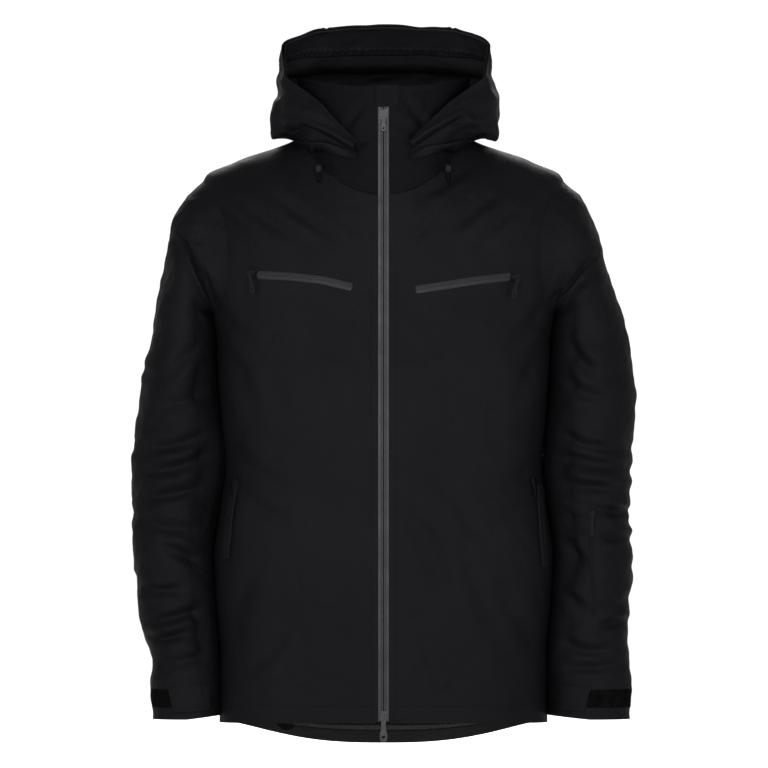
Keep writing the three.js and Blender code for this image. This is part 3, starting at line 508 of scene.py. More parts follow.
BACK_FOLDS = [
    ([(-186.6, 667), (-121.5, 625.4), (-69.5, 576)], 11, 3.6), ([(177.5, 672.2), (125.5, 625.4), (73.5, 581.2)], 11, 3.6),
    ([(-108.5, 711.2), (0.7, 687.8), (107.2, 711.2)], 10, 2.6), ([(-202.2, 537), (-158, 485), (-108.5, 451.2)], 12, 3.8),
    ([(203.5, 537), (164.5, 490.2), (112.5, 446)], 12, 3.8), ([(-204.8, 386.2), (-147.6, 349.8), (-69.5, 334.2)], 13, 4.2),
    ([(211.2, 381), (151.5, 347.2), (68.2, 331.6)], 13, 4.2), ([(-186.6, 316), (-121.5, 290), (-43.6, 287.4)], 12, 3.2),
    ([(195.7, 308.2), (125.5, 284.8), (47.5, 282.2)], 12, 3.2), ([(-108.5, 186), (-121.5, 121), (-113.8, 56)], 13, 2.8),
    ([(99.5, 199), (117.7, 134), (112.5, 56)], 13, 2.8), ([(-4.5, 238), (3.2, 160), (-4.5, 82)], 15, 2.2),
]


def torso_relief(P):
    """Outward displacement of points on the torso, in millimetres."""
    Q = P.reshape(-1, 3)
    xz = Q[:, [0, 2]]
    out = np.zeros(len(Q))
    front = 1 / (1 + np.exp((Q[:, 1] + 25) / 14))
    for pts, w, d in FRONT_FOLDS:
        out += front * fold(xz, np.array(pts), w, d)
    for pts, w, d in BACK_FOLDS:
        out += (1 - front) * fold(xz, np.array(pts), w, d)
    out += 1.5 * waves(Q, 3, 95, aniso=(1, 1, 0.7)) + 0.5 * waves(Q, 5, 34)
    arm_side = np.abs(Q[:, 0]) / np.interp(Q[:, 2], RINGS[np.argsort(RINGS[:, 5]), 5], RINGS[np.argsort(RINGS[:, 5]), 0])
    out *= 1 - 0.7 * np.clip((arm_side - 0.9) / 0.08, 0, 1) * (Q[:, 2] < 560)
    # calm beside the zip, the neck and the hem
    near_zip = np.exp(-((Q[:, 0] / 22) ** 2)) * (Q[:, 1] < 0)
    neck = np.clip((Q[:, 2] - 730) / 40, 0, 1) * (np.abs(Q[:, 0]) < 140)
    out *= (1 - 0.93 * near_zip) * (1 - 0.85 * neck)
    return out.reshape(P.shape[:-1])


LEFT_ARM = [  # the wearer's left
    ([(281.4, 625.4), (255.5, 599.4), (224.2, 573.4)], 9, 5.0), ([(224.2, 524), (250.2, 503.2), (276.2, 474.6)], 9, 4.4),
    ([(219.1, 482.4), (255.5, 456.4), (297.1, 443.4)], 9, 3.6), ([(223, 404.4), (261.9, 386.2), (317.9, 378.4)], 8, 5.0),
    ([(229.5, 373.2), (271.1, 362.8), (323.1, 355)], 8, 4.8), ([(224.2, 339.4), (263.2, 334.2), (312.7, 326.4)], 7, 4.2),
    ([(286.7, 305.6), (302.2, 300.4), (323.1, 300.4)], 6, 5.0), ([(281.4, 269.2), (299.7, 266.6), (325.7, 266.6)], 6, 4.6),
    ([(226.8, 264), (247.7, 243.2), (260.7, 230.2)], 8, 3.8), ([(224.2, 196.4), (247.7, 183.4), (263.2, 170.4)], 8, 3.8),
    ([(278.9, 152.2), (297.1, 154.8), (323.1, 157.4)], 6, 4.4), ([(224.2, 134), (258.1, 121), (297.1, 118.4)], 8, 4.2),
    ([(229.5, 97.6), (268.4, 97.6), (315.2, 102.8)], 7, 3.4),
]
RIGHT_ARM = [
    ([(-280.2, 664.4), (-251.6, 622.8), (-224.2, 576)], 9, 5.0), ([(-230.8, 521.4), (-256.8, 503.2), (-280.2, 479.8)], 9, 4.0),
    ([(-225.6, 459), (-256.8, 443.4), (-295.8, 435.6)], 9, 3.6), ([(-220.3, 407), (-259.4, 388.8), (-316.6, 378.4)], 8, 4.8),
    ([(-223, 373.2), (-269.8, 357.6), (-321.8, 349.8)], 8, 4.8), ([(-228.2, 334.2), (-269.8, 323.8), (-319.2, 316)], 7, 4.0),
    ([(-289.2, 257.5), (-256.8, 243.2), (-224.2, 227.6)], 8, 5.0), ([(-319.2, 290), (-280.2, 279.6), (-233.3, 277)], 8, 3.8),
    ([(-317.9, 201.6), (-290.6, 197.7), (-259.4, 200.3)], 7, 4.6), ([(-306.2, 156.1), (-269.8, 163.9), (-230.8, 175.6)], 7, 4.8),
    ([(-311.4, 139.2), (-285.4, 135.3), (-251.6, 144.4)], 6, 5.2), ([(-295.8, 102.8), (-259.4, 105.4), (-223, 115.8)], 8, 3.6),
]


def sleeve_relief(side, P, deg, t):
    Q = P.reshape(-1, 3)
    out = np.zeros(len(Q))
    dg = np.broadcast_to(deg, P.shape[:-1]).ravel()
    tt = np.broadcast_to(t, P.shape[:-1]).ravel()
    back = np.cos(np.radians(dg))
    front = 1 / (1 + np.exp(back * 9))
    for pts, w, d in LEFT_ARM if side > 0 else RIGHT_ARM:
        out += front * fold(Q[:, [0, 2]], np.array(pts), w, d)
    a, b = (np.array([284.0, 634.0]), np.array([222.0, 571.0])) if side > 0 else (np.array([-274.0, 668.0]), np.array([-224.0, 571.0]))
    e = (b - a) / np.linalg.norm(b - a)
    rel = Q[:, [0, 2]] - a
    along = (rel @ e) / np.linalg.norm(b - a)
    across = side * (rel[:, 0] * -e[1] + rel[:, 1] * e[0]) * (1 if side > 0 else 1)
    across = np.where(side > 0, -(rel[:, 0] * e[1] - rel[:, 1] * e[0]), rel[:, 0] * e[1] - rel[:, 1] * e[0])
    low = np.clip(-across / 3.5, 0, 1) * np.exp(-np.clip(-across, 0, 400) / 26)
    out -= front * 8.0 * low * np.clip(along / 0.25, 0, 1) * np.clip((1.35 - along) / 0.2, 0, 1)
    # folds that run part of the way round, in (arc, height)
    arc = np.mod(dg + 180, 360) - 180
    r = np.random.default_rng(40 + side)
    for k in range(30):
        low = r.uniform(0, 1)
        z0 = 40 + 560 * (0.75 * low + 0.25 * r.uniform()) if k % 3 else 395 - 130 * r.uniform()
        a0, half, slope = r.uniform(-180, 180), r.uniform(45, 95), r.uniform(-0.35, 0.35)
        w, d = r.uniform(6.5, 11), r.uniform(1.6, 3.4)
        for shift in (-360, 0, 360):
            a = arc - a0 - shift
            inside = np.clip(1 - (a / half) ** 2, 0, 1) ** 0.8
            off = Q[:, 2] - (z0 + slope * a * 0.9)
            out += (1 - 0.55 * front) * inside * d * (-np.exp(-((off / w) ** 2)) + 0.55 * np.exp(-(((off - 1.8 * w) / w) ** 2)))
    out += 1.3 * waves(Q, 11 + side, 70, aniso=(1, 1, 1.5)) + 0.5 * waves(Q, 17 + side, 26, aniso=(1, 1, 1.6))
    inner = np.clip(-np.sin(np.radians(dg)) - 0.45, 0, 0.4) / 0.4
    tuck = np.exp(-(((np.mod(dg, 360) - 227) / 27) ** 2)) * np.clip((590 - Q[:, 2]) / 60, 0, 1) * np.clip((Q[:, 2] - 60) / 60, 0.25, 1)
    zig = 0.5 + 0.5 * np.sin(Q[:, 2] / (23.0 if side < 0 else 27.0) + 1.6 * np.sin(Q[:, 2] / 61.0 + side))
    out = out * 1.25 - tuck * (6.5 + 8.5 * zig)
    calm = np.clip(tt / 0.9, 0, 1) * (1 - 0.75 * np.clip((70 - Q[:, 2]) / 40, 0, 1)) * (1 - 0.75 * inner)
    return (out * calm).reshape(P.shape[:-1])


# ------------------------------------------------------------------ mesh making
def mesh_object(name, V, F, mat, uv=None):
    me = bpy.data.meshes.new(name)
    me.from_pydata([tuple(p) for p in V], [], F)
    me.update()
    if uv is not None:
        layer = me.uv_layers.new(name="UVMap")
        idx = np.zeros(len(me.loops), np.int32)
        me.loops.foreach_get("vertex_index", idx)
        layer.data.foreach_set("uv", np.asarray(uv, np.float32)[idx].ravel())
    me.polygons.foreach_set("use_smooth", [True] * len(me.polygons))
    me.materials.append(mat)
    o = bpy.data.objects.new(name, me)
    bpy.context.scene.collection.objects.link(o)
    return o


def sheet_mesh(name, P, N, thick, mat, keep=None, wrap=False, seam=0.0):
    """A cloth of real thickness over a grid of drafting-frame points, both faces and the edges in one mesh."""
    nu, nv = P.shape[:2]
    outer, inner = P, P - N * thick
    V = np.concatenate([outer.reshape(-1, 3), inner.reshape(-1, 3)])
    lu = np.concatenate([[0], np.cumsum(np.linalg.norm(np.diff(P[:, nv // 2], axis=0), axis=1))]) / 1000
    lv = np.concatenate([[0], np.cumsum(np.linalg.norm(np.diff(P[nu // 2], axis=0), axis=1))]) / 1000
    UV = np.stack(np.meshgrid(lu, lv, indexing="ij"), -1).reshape(-1, 2)
    base = nu * nv
    cu = nu if wrap else nu - 1
    K = np.ones((cu, nv - 1), bool) if keep is None else keep[:cu, : nv - 1]
    F = []
    ix = lambda i, j: (i % nu) * nv + j
    a = P[min(1, nu - 1), 0] - P[0, 0]
    b = P[0, 1] - P[0, 0]
    ccw = np.dot(np.cross(a, b), N[0, 0]) > 0

    extra = []

    def put(q, flip=False, rim=False):
        if rim:
            n0 = 2 * base + len(extra)
            extra.extend(q)
            q = [n0, n0 + 1, n0 + 2, n0 + 3]
        F.append(tuple(q) if ccw != flip else tuple(reversed(q)))

    for i in range(cu):
        for j in range(nv - 1):
            if not K[i, j]:
                continue
            q = [ix(i, j), ix(i + 1, j), ix(i + 1, j + 1), ix(i, j + 1)]
            put(q)
            put([base + k for k in q], True)
            if j == 0 or not K[i, j - 1]:
                put([q[1], q[0], base + q[0], base + q[1]], rim=True)
            if j == nv - 2 or not K[i, j + 1]:
                put([q[3], q[2], base + q[2], base + q[3]], rim=True)
            left = K[(i - 1) % cu, j] if wrap else (i > 0 and K[i - 1, j])
            right = K[(i + 1) % cu, j] if wrap else (i < cu - 1 and K[i + 1, j])
            if not left:
                put([q[0], q[3], base + q[3], base + q[0]], rim=True)
            if not right:
                put([q[2], q[1], base + q[1], base + q[2]], rim=True)
    UV = np.concatenate([UV, UV])
    if extra:
        V = np.concatenate([V, V[extra]])
        UV = np.concatenate([UV, UV[extra]])
    used = sorted({k for f in F for k in f})
    back = {k: n for n, k in enumerate(used)}
    F = [tuple(back[k] for k in f) for f in F]
    return mesh_object(name, row(V[used]), F, mat, UV[used])


def cloth_of(o, P, keep=None, wrap=False):
    """Works out a grid's flat size and the area of its cut from the grid, and keeps them in CUTS."""
    Q = np.concatenate([P, P[:1]]) if wrap else P
    a, b = np.diff(Q, axis=0)[:, :-1], np.diff(Q, axis=1)[:-1]
    cell = np.linalg.norm(np.cross(a, b), axis=-1)
    if keep is not None:
        cell = cell * keep[: cell.shape[0], : cell.shape[1]]
    w = np.linalg.norm(np.diff(Q, axis=0), axis=-1).sum(0).max() / 1000
    l = np.linalg.norm(np.diff(Q, axis=1), axis=-1).sum(1).max() / 1000
    area = float(min(max(cell.sum() / 1e6, 0.301 * w * l), w * l))
    CUTS[o.name] = (round(w, 3), round(l, 3), round(area, 4))


CUTS = {}


def tube(name, pts, radius, mat, n=8, flat=1.0):
    """A round or flattened run of thread or cord along drafting-frame points."""
    pts = np.asarray(pts, float)
    T = np.gradient(pts, axis=0)
    T /= np.linalg.norm(T, axis=1, keepdims=True)
    ref = np.array([0.0, -1.0, 0.2])
    V = []
    for p, t in zip(pts, T):
        a = np.cross(t, ref)
        a /= max(np.linalg.norm(a), 1e-6)
        b = np.cross(a, t)
        for k in range(n):
            th = 2 * math.pi * k / n
            V.append(p + radius * (math.cos(th) * a + flat * math.sin(th) * b))
    F = [(i * n + k, i * n + (k + 1) % n, (i + 1) * n + (k + 1) % n, (i + 1) * n + k) for i in range(len(pts) - 1) for k in range(n)]
    F += [tuple(range(n - 1, -1, -1)), tuple(range((len(pts) - 1) * n, len(pts) * n))]
    return mesh_object(name, row(V), F, mat)


def stitches(name, pts, body, on, pitch=3.4, radius=0.32):
    """A row of lockstitches: short thread runs lying on the cloth, in one mesh."""
    pts = np.asarray(pts, float)
    seg = np.linalg.norm(np.diff(pts, axis=0), axis=1)
    s = np.concatenate([[0], np.cumsum(seg)])
    n = int(s[-1] / pitch)
    V, F = [], []
    for k in range(n):
        ss = np.linspace((k + 0.14) * pitch, (k + 0.86) * pitch, 4)
        c = np.stack([np.interp(ss, s, pts[:, a]) for a in range(3)], -1)
        t = c[-1] - c[0]
        t /= max(np.linalg.norm(t), 1e-9)
        up = on(c.mean(0))
        w = np.cross(t, up)
        for m, q in enumerate(c):
            lift = (0.0, 0.32, 0.32, 0.0)[m]
            for th in range(5):
                an = 2 * math.pi * th / 5
                V.append(q + up * (lift + radius * math.sin(an)) + w * radius * math.cos(an))
        b = k * 20
        for m in range(3):
            F += [(b + m * 5 + th, b + m * 5 + (th + 1) % 5, b + (m + 1) * 5 + (th + 1) % 5, b + (m + 1) * 5 + th) for th in range(5)]
        F += [tuple(b + th for th in range(4, -1, -1)), tuple(b + 15 + th for th in range(5))]
    o = mesh_object(name, row(V), F, THREAD)
    return o


def out_torso(P):
    o = np.array(P)
    o[..., 1] *= 1.4
    o[..., 2] = np.where((P[..., 2] > 700) & (np.abs(P[..., 0]) > 90), 120, 0)
    return o


# ------------------------------------------------------------------ torso panels
def beside_zip(d0, d1, nu, v0, v1, nv, gap=8.4):
    """Grid angles and rows; an end at the middle of the front starts a fixed distance from the zip's centre."""
    v = np.linspace(v0, v1, nv)[None, :]
    r = hermite(RINGS, v)
    start = np.degrees(np.arcsin((gap / r[..., 0]) ** (r[..., 3] / 2)))
    a = -90 + start if d0 < -80 else np.full_like(v, d0)
    b = 270 - start if d1 > 260 else np.full_like(v, d1)
    u = np.linspace(0, 1, nu)[:, None]
    if d0 < -80 and d1 < 260:
        u = u ** 1.25
    elif d1 > 260 and d0 > -80:
        u = 1 - (1 - u) ** 1.25
    return a + (b - a) * u, v * np.ones((nu, 1))


def torso_panel(name, d0, d1, nodes, v0=0.0, v1=14.0, nu=150, nv=330, off=0.0, thick=2.0, mat=SHELL, edge=None, relief=1.0):
    deg, v = beside_zip(d0, d1, nu, v0, v1, nv)
    P = torso(deg, v)
    N = normals(P, out_torso(P))
    D = torso_relief(P) * relief
    # every seam is a shallow groove with a raised lip beside it
    arc = np.minimum(np.abs(deg - d0), np.abs(deg - d1))
    mm = arc * 3.6
    D = D * np.clip(mm / 9, 0.25, 1) - 0.9 * np.exp(-((mm / 1.2) ** 2)) + 0.35 * np.exp(-(((mm - 3.2) / 1.6) ** 2))
    m = around(deg, v)
    D = D + torso_lift(deg, v)
    D += off
    D = D + 0.9 * np.exp(-(((13.93 - v) * 42 / 2.0) ** 2)) - 1.0 * np.exp(-(((14 - v) * 42 / 1.2) ** 2))
    # hem: turned edge with a topstitched channel
    hem = (v - 0.62) * 58
    D -= 0.8 * np.exp(-((hem / 1.4) ** 2)) * (v0 < 0.2)
    P = P + N * D[..., None]
    # armhole: open inside the seam
    keep = (m > 0.93)[:, :]
    keep = keep[:-1, :-1] & keep[1:, :-1] & keep[:-1, 1:] & keep[1:, 1:]
    if edge is not None:
        for e, i in edge:
            P[i, :, 0] = e
    o = sheet_mesh(name, P, N, thick, mat, keep)
    if nodes:
        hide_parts(*nodes)
    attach(o, "jacket_body")
    if mat is not WADDING:
        cloth_of(o, P, keep=keep)
    return o, P, N


fl, PL, NL = torso_panel("shell_front_left", -90, 0, ["front_panel_left"], edge=[(8.0, 0)])
fr, PR, NR = torso_panel("shell_front_right", 180, 270, ["front_panel_right"], edge=[(-8.0, -1)])
bk, PB, NB = torso_panel("shell_back", 0, 180, ["back_panel"], nu=220)
wd, _, _ = torso_panel("insulation_batt", -84, 264, ["body_insulation"], v0=1.0, v1=13.0, nu=200, nv=170, off=-4.2, thick=3.4, mat=WADDING)
ln, _, _ = torso_panel("lining_body", -86, 266, ["body_lining"], v0=0.32, v1=13.95, nu=260, nv=200, off=-9.0, thick=1.2, mat=LINING, relief=0.4)


# ------------------------------------------------------------------ collar
def collar(name, d0, d1, nodes, off, thick, mat, v1=16.0, edge=None):
    deg, v = beside_zip(d0, d1, 110, 14.0, v1, 60)
    P = torso(deg, v)
    N = normals(P, out_torso(P) * np.array([1, 1, 0]))
    D = 1.1 * waves(P, 21, 60, aniso=(0.4, 0.4, 1.3)) * np.sin(np.pi * (v - 14) / 2) + off
    D = D + 1.6 * np.exp(-(((v - 14.02) * 60 / 5) ** 2)) + 1.2 * np.exp(-(((v - 14.3) * 60 / 14) ** 2))
    D = D - 0.8 * np.exp(-(((v - 15.86) / 0.03) ** 2)) + 0.6 * np.exp(-(((v - 16.0) / 0.05) ** 2))
    near = np.exp(-((P[..., 0] / 20) ** 2)) * (P[..., 1] < 0)
    D = D * (1 - 0.8 * near) + off * 0.8 * near
    front = np.clip(-P[..., 1] / 20 - 1, 0, 1)
    for line, wd, dp in (([(24, 842), (42, 818), (60, 790)], 6, 2.4), ([(16, 806), (34, 797), (56, 778)], 5, 1.8), ([(-22, 836), (-38, 814), (-54, 792)], 6, 2.0), ([(-14, 790), (-34, 776), (-60, 764)], 6, 1.6), ([(58, 838), (50, 806), (36, 782)], 5, 1.4)):
        D = D + front * fold(P[..., [0, 2]].reshape(-1, 2), np.array(line, float), wd, dp).reshape(D.shape)
    P = P + N * D[..., None]
    if edge is not None:
        for e, i in edge:
            P[i, :, 0] = e
    o = sheet_mesh(name, P, N, thick, mat)
    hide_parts(*nodes)
    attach(o, "jacket_body")
    cloth_of(o, P)
    return o, P


# both collar halves take the darker copy of the shell cloth: painted shade
cl, PCL = collar("collar_left", -90, 90, ["collar_shell_left"], 0, 2, COLLAR_PAINTED_SHADE, edge=[(8.0, 0)])
cr, PCR = collar("collar_right", 90, 270, ["collar_shell_right"], 0, 2, COLLAR_PAINTED_SHADE, edge=[(-8.0, -1)])
cn, _ = collar("collar_inside", -87, 267, ["collar_lining"], -3.4, 1.8, LINING)


# ------------------------------------------------------------------ sleeves
def sleeve_piece(side, name, t0, t1, nodes, off, thick, mat, bodies, nv):
    deg = np.linspace(0, 360, 161)[:-1][:, None]
    t = np.linspace(t0, t1, nv)[None, :]
    if t1 > 13.9:
        t = t0 + (t - t0) * (13.88 - t0) / (t1 - t0)
    P = sleeve(side, deg, t)
    C = arm_center(side, t * np.ones_like(deg))
    Pw = np.concatenate([P[-1:], P, P[:1]])
    Cw = np.concatenate([C[-1:], C, C[:1]])
    out = Pw - Cw
    out[..., 0] += side * 12 * np.clip(1.2 - np.concatenate([t] * len(Pw)), 0, 1)
    N = normals(Pw, out)[1:-1]
    D = sleeve_relief(side, P, deg, t) + off + sleeve_lift(deg, t)
    near_seam = np.clip(1 - t / 0.9, 0, 1)
    D = D + torso_relief(P) * near_seam * near_seam * (3 - 2 * near_seam)
    seam_t = np.abs(t - t0) * 60
    if t0 < 0.5:
        D = D - 0.25 * np.exp(-((seam_t / 1.6) ** 2))
    # underarm seam and the cuff's turned edge
    us = np.abs(np.mod(deg + 75 + 180, 360) - 180) * 1.0
    D = D - 0.8 * np.exp(-((us / 1.4) ** 2)) + 0.4 * np.exp(-(((us - 4) / 2) ** 2))
    if t1 > 13.9 and off > -1:
        D = D - 0.9 * np.exp(-(((t - 13.35) * 34 / 1.4) ** 2)) + 0.8 * np.exp(-(((t - 13.88) * 34 / 5) ** 2))
    P = P + N * D[..., None]
    o = sheet_mesh(name, P, N, thick, mat, wrap=True)
    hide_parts(*nodes)
    cloth_of(o, P, wrap=True)
    if bodies:
        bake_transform(o)
    return o, P, N


ARMS = {}
for side_name, sg in SIDES:
    up, Pu, Nu = sleeve_piece(sg, f"sleeve_top_{side_name}", 0.0, 6.0, [f"sleeve_head_{side_name}", f"sleeve_upper_{side_name}"], 0, 2, SLEEVE,
                              ("jacket_body", f"upper_arm_{side_name}"), 190)
    lo, Pl, Nl = sleeve_piece(sg, f"sleeve_forearm_{side_name}", 6.0, 14.0, [f"sleeve_lower_{side_name}"], 0, 2, SLEEVE,
                              (f"upper_arm_{side_name}", f"forearm_{side_name}"), 300)
    li, _, _ = sleeve_piece(sg, f"sleeve_inside_{side_name}", 7.6, 13.8, [f"sleeve_lining_{side_name}"], -4.2, 1.4, LINING, None, 90)
    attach(li, f"forearm_{side_name}")
    up, lo, li
    ARMS[side_name] = (Pu, Nu, Pl, Nl)


# ------------------------------------------------------------------ hood
ARCH = {1: np.array([[30, 770], [47, 783], [73, 799], [101, 815], [120, 802], [146, 784], [160, 776]], float),
        -1: np.array([[20, 760], [28, 764], [67, 788], [92, 800], [111, 806], [130, 796], [146, 784], [160, 778]], float)}


def hood_grid(s0, s1, w0, w1, nu, nv, relief=1.0):
    s = np.linspace(s0, s1, nu)[:, None]
    w = np.linspace(w0, w1, nv)[None, :]
    P = hood(s, w)
    c = np.array([0, 40, 850.0])
    out = P - c
    out[..., 2] -= np.where(w * np.ones_like(s) < 1.1, 90, 0)
    N = normals(P, out)
    D = (1.8 * waves(P, 31, 62) + 0.7 * waves(P, 33, 24)) * relief
    for x0, x1, z0, z1, wd, dp in ((-148, -96, 806, 792, 7, 4.5), (-146, -70, 826, 800, 7, 3.6), (146, 92, 812, 790, 7, 4.6), (148, 84, 832, 806, 7, 3.6), (-146, -110, 852, 836, 8, 3), (146, 112, 858, 840, 8, 3), (-60, -146, 905, 872, 9, 2.6), (60, 146, 905, 868, 9, 2.6)):
        D += relief * fold(P[..., [0, 2]].reshape(-1, 2), np.array([[x0, z0], [(x0 + x1) / 2, (z0 + z1) / 2 - 4], [x1, z1]]), wd, dp).reshape(D.shape)
    # three-panel seams, and the stitched channel of the brim
    for q in (0.3, -0.3):
        mm = np.abs(s - q) * 260
        D = D - (1.2 * np.exp(-((mm / 1.8) ** 2)) - 0.5 * np.exp(-(((mm - 5) / 2.4) ** 2))) * (relief == 1.0)
    # the front corner arches up: below the arch the cloth tucks in
    for sg, line in ARCH.items():
        ax = sg * P[..., 0]
        top = np.interp(ax, line[:, 0], line[:, 1])
        below = top - P[..., 2]
        there = np.clip((ax - 26) / 14, 0, 1) * np.clip((P[..., 1] + 30) / -16, 0, 1) * np.clip((146 - ax) / 10, 0, 1)
        D += relief * there * (-9.5 * np.clip(below / 6 + 0.3, 0, 1) + 3.2 * np.exp(-(((below + 5) / 5) ** 2)))
    D = D - 1.1 * np.exp(-(((w - 5.3) * 62 / 1.8) ** 2)) + 1.4 * np.exp(-(((w - 6) * 62 / 7) ** 2))
    calm = np.clip((w - 0.0) / 0.6, 0, 1)
    return P + N * (D * calm)[..., None], N


PH, NH = hood_grid(-1, 1, 0.0, 6.0, 300, 170)
hd = sheet_mesh("hood_shell", PH, NH, 2.2, SHELL)
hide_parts("hood_center_panel", "hood_side_left", "hood_side_right", "hood_corner_left", "hood_corner_right")
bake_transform(hd)
cloth_of(hd, PH)

# inside of the hood: facing at the rim, a gathered channel, then the lining
PF, NF = hood_grid(-0.97, 0.97, 5.2, 5.97, 420, 48, 0.6)
gather = 1.1 * np.sin(np.linspace(0, 1, 420)[:, None] * 2 * math.pi * 62) * np.exp(-(((np.linspace(5.2, 5.97, 48)[None, :] - 5.25) / 0.09) ** 2))
PF = PF - NF * (3.4 + gather[..., None])
fc = sheet_mesh("hood_facing", PF, NF, 1.6, FACING)
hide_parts("hood_brim")
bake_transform(fc)
cloth_of(fc, PF)
# the lower lining takes the lighter taffeta copy (painted light) and the roof lining the darker one (painted shade)
for lname, w0, w1, nv, lmat in (("hood_inside", 1.7, 4.1, 80, HOOD_LINING_PAINTED_LIGHT), ("hood_roof_inside", 4.1, 5.17, 40, ROOF_LINING_PAINTED_SHADE)):
    PI, NI = hood_grid(-0.9, 0.9, w0, w1, 240, nv, 0.7)
    PI = PI - NI * 4.6
    hl = sheet_mesh(lname, PI, NI, 1.4, lmat)
    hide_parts("hood_lining")
    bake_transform(hl)
    cloth_of(hl, PI)


# ------------------------------------------------------------------ main zip
def zip_tape(name, sg, node_name):
    """One tape: a coated band with the soft ridge of the reverse coil beside the slit."""
    z = np.linspace(30, 846, 900)
    prof = np.array([[7.5, 0.2], [6.8, -0.1], [5.0, -0.05], [3.4, 0.0], [2.6, -0.55], [1.7, -0.95], [0.8, -0.8], [0.25, -0.35], [0.25, 2.2], [2.4, 2.2], [2.4, 1.4], [7.5, 1.4]])
    n = len(prof)
    V = []
    for k, zz in enumerate(z):
        rib = 0.16 * math.sin(2 * math.pi * zz / 1.9)
        for m, (x, dy) in enumerate(prof):
            V.append((sg * x, zy(zz) + dy - (rib if m in (4, 5, 6) else 0), zz))
    F = [(i * n + m, i * n + (m + 1) % n, (i + 1) * n + (m + 1) % n, (i + 1) * n + m) for i in range(len(z) - 1) for m in range(n)]
    if sg > 0:
        F = [tuple(reversed(f)) for f in F]
    caps = [tuple(range(n)), tuple(range((len(z) - 1) * n, len(z) * n))]
    F += [caps[0] if sg > 0 else tuple(reversed(caps[0])), tuple(reversed(caps[1])) if sg > 0 else caps[1]]
    o = mesh_object(name, row(V), F, ZIP)
    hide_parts(node_name)
    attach(o, "jacket_body")
    return o


zip_tape("zip_band_left", 1, "main_zip_tape_left")
zip_tape("zip_band_right", -1, "main_zip_tape_right")


# ------------------------------------------------------------------ strips welded on the surface
def surface_point(P, x, z, front=True):
    """The point and normal of the shell grids nearest to (x, z) seen from the front."""
    G, M = (PL, NL) if x >= 0 else (PR, NR)
    d = (G[..., 0] - x) ** 2 + (G[..., 2] - z) ** 2 + np.where(G[..., 1] > -40, 1e6, 0)
    i = np.unravel_index(np.argmin(d), d.shape)
    return G[i], M[i]


def arm_point(side_name, x, z):
    Pu, Nu, Pl, Nl = ARMS[side_name]
    G, M = Pl, Nl
    d = (G[..., 0] - x) ** 2 + (G[..., 2] - z) ** 2 + np.where(M[..., 1] > -0.1, 1e6, 0)
    i = np.unravel_index(np.argmin(d), d.shape)
    return G[i], M[i]


def strip(name, pts, width, lift, mat, find, ridge=0.6, square=True):
    """A welded strip with rounded ends that follows the cloth: outline in (x, z), width in millimetres."""
    pts = np.asarray(pts, float)
    s = np.concatenate([[0], np.cumsum(np.linalg.norm(np.diff(pts, axis=0), axis=1))])
    ss = np.linspace(0, s[-1], 90)
    line = np.stack([np.interp(ss, s, pts[:, 0]), np.interp(ss, s, pts[:, 1])], -1)
    k = np.ones(9) / 9
    pad = np.pad(line, ((4, 4), (0, 0)), mode="edge")
    line = np.stack([np.convolve(pad[:, a], k, mode="valid") for a in range(2)], -1)
    T = np.gradient(line, axis=0)
    T /= np.linalg.norm(T, axis=1, keepdims=True)
    S = np.stack([-T[:, 1], T[:, 0]], -1)
    across = np.array([-1, -0.97, -0.86, -0.5, -0.24, -0.1, 0, 0.1, 0.24, 0.5, 0.86, 0.97, 1])
    rise = np.array([-0.4, 0.35, 0.6, 0.65, 0.75 + ridge, 0.7 + ridge, 0.2, 0.7 + ridge, 0.75 + ridge, 0.65, 0.6, 0.35, -0.4])
    # the cloth under the strip, smoothed along it
    base = [find(a, b) for a, b in line]
    Y = np.array([p[1] for p, _ in base])
    Nn = np.array([n for _, n in base])
    sm = lambda A: np.stack([np.convolve(np.pad(A[:, a], 6, mode="edge"), np.ones(13) / 13, mode="valid") for a in range(A.shape[1])], -1)
    Y = sm(Y[:, None])[:, 0]
    Nn = sm(Nn)
    Nn /= np.linalg.norm(Nn, axis=1, keepdims=True)
    e = np.minimum(ss, s[-1] - ss)
    r = width / 2
    wscale = np.sqrt(np.clip(1 - np.clip((r * 0.7 - e) / (r * 0.7), 0, 1) ** 2, 0.06, 1))
    P = np.zeros((90, 13, 3))
    for i in range(90):
        c = np.array([line[i, 0], Y[i], line[i, 1]])
        side = np.array([S[i, 0], 0, S[i, 1]])
        side -= Nn[i] * (side @ Nn[i])
        side /= np.linalg.norm(side)
        for j in range(13):
            P[i, j] = c + side * across[j] * r * wscale[i] + Nn[i] * (lift + rise[j])
    o = sheet_mesh(name, P, np.repeat(Nn[:, None], 13, 1), 1.0, mat)
    return o, P


CHEST = {"left": np.array([(39.6, 588.4), (80, 594.7), (119, 600.7), (167.1, 606.5)]), "right": np.array([(-38.4, 591.6), (-80, 601.4), (-119, 605.9), (-165.8, 608.5)])}
for side_name, sg in SIDES:
    o, _ = strip(f"chest_zip_band_{side_name}", CHEST[side_name], 11.0, 0.4, CHEST_ZIP, lambda a, b: surface_point(None, a, b))
    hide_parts(f"chest_zip_{side_name}")
    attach(o, "jacket_body")

# hand pockets: a welt over a hidden zip
HAND = {"left": np.array([(198.2, 338.1), (203.5, 266.6), (207.3, 227.6)]), "right": np.array([(-189.2, 344.6), (-197, 290), (-202.2, 238)])}
for side_name, sg in SIDES:
    o, _ = strip(f"hand_zip_band_{side_name}", HAND[side_name], 6.0, -0.3, FACING, lambda a, b: surface_point(None, a, b), ridge=0.3)
    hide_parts(f"hand_zip_{side_name}")
    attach(o, "jacket_body")
    o, _ = strip(f"hand_welt_{side_name}", HAND[side_name] + np.array([sg * 1.0, 0]), 15.0, 4.4, SHELL, lambda a, b: surface_point(None, a, b), ridge=0.0)
    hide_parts(f"hand_pocket_welt_{side_name}")
    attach(o, "jacket_body")

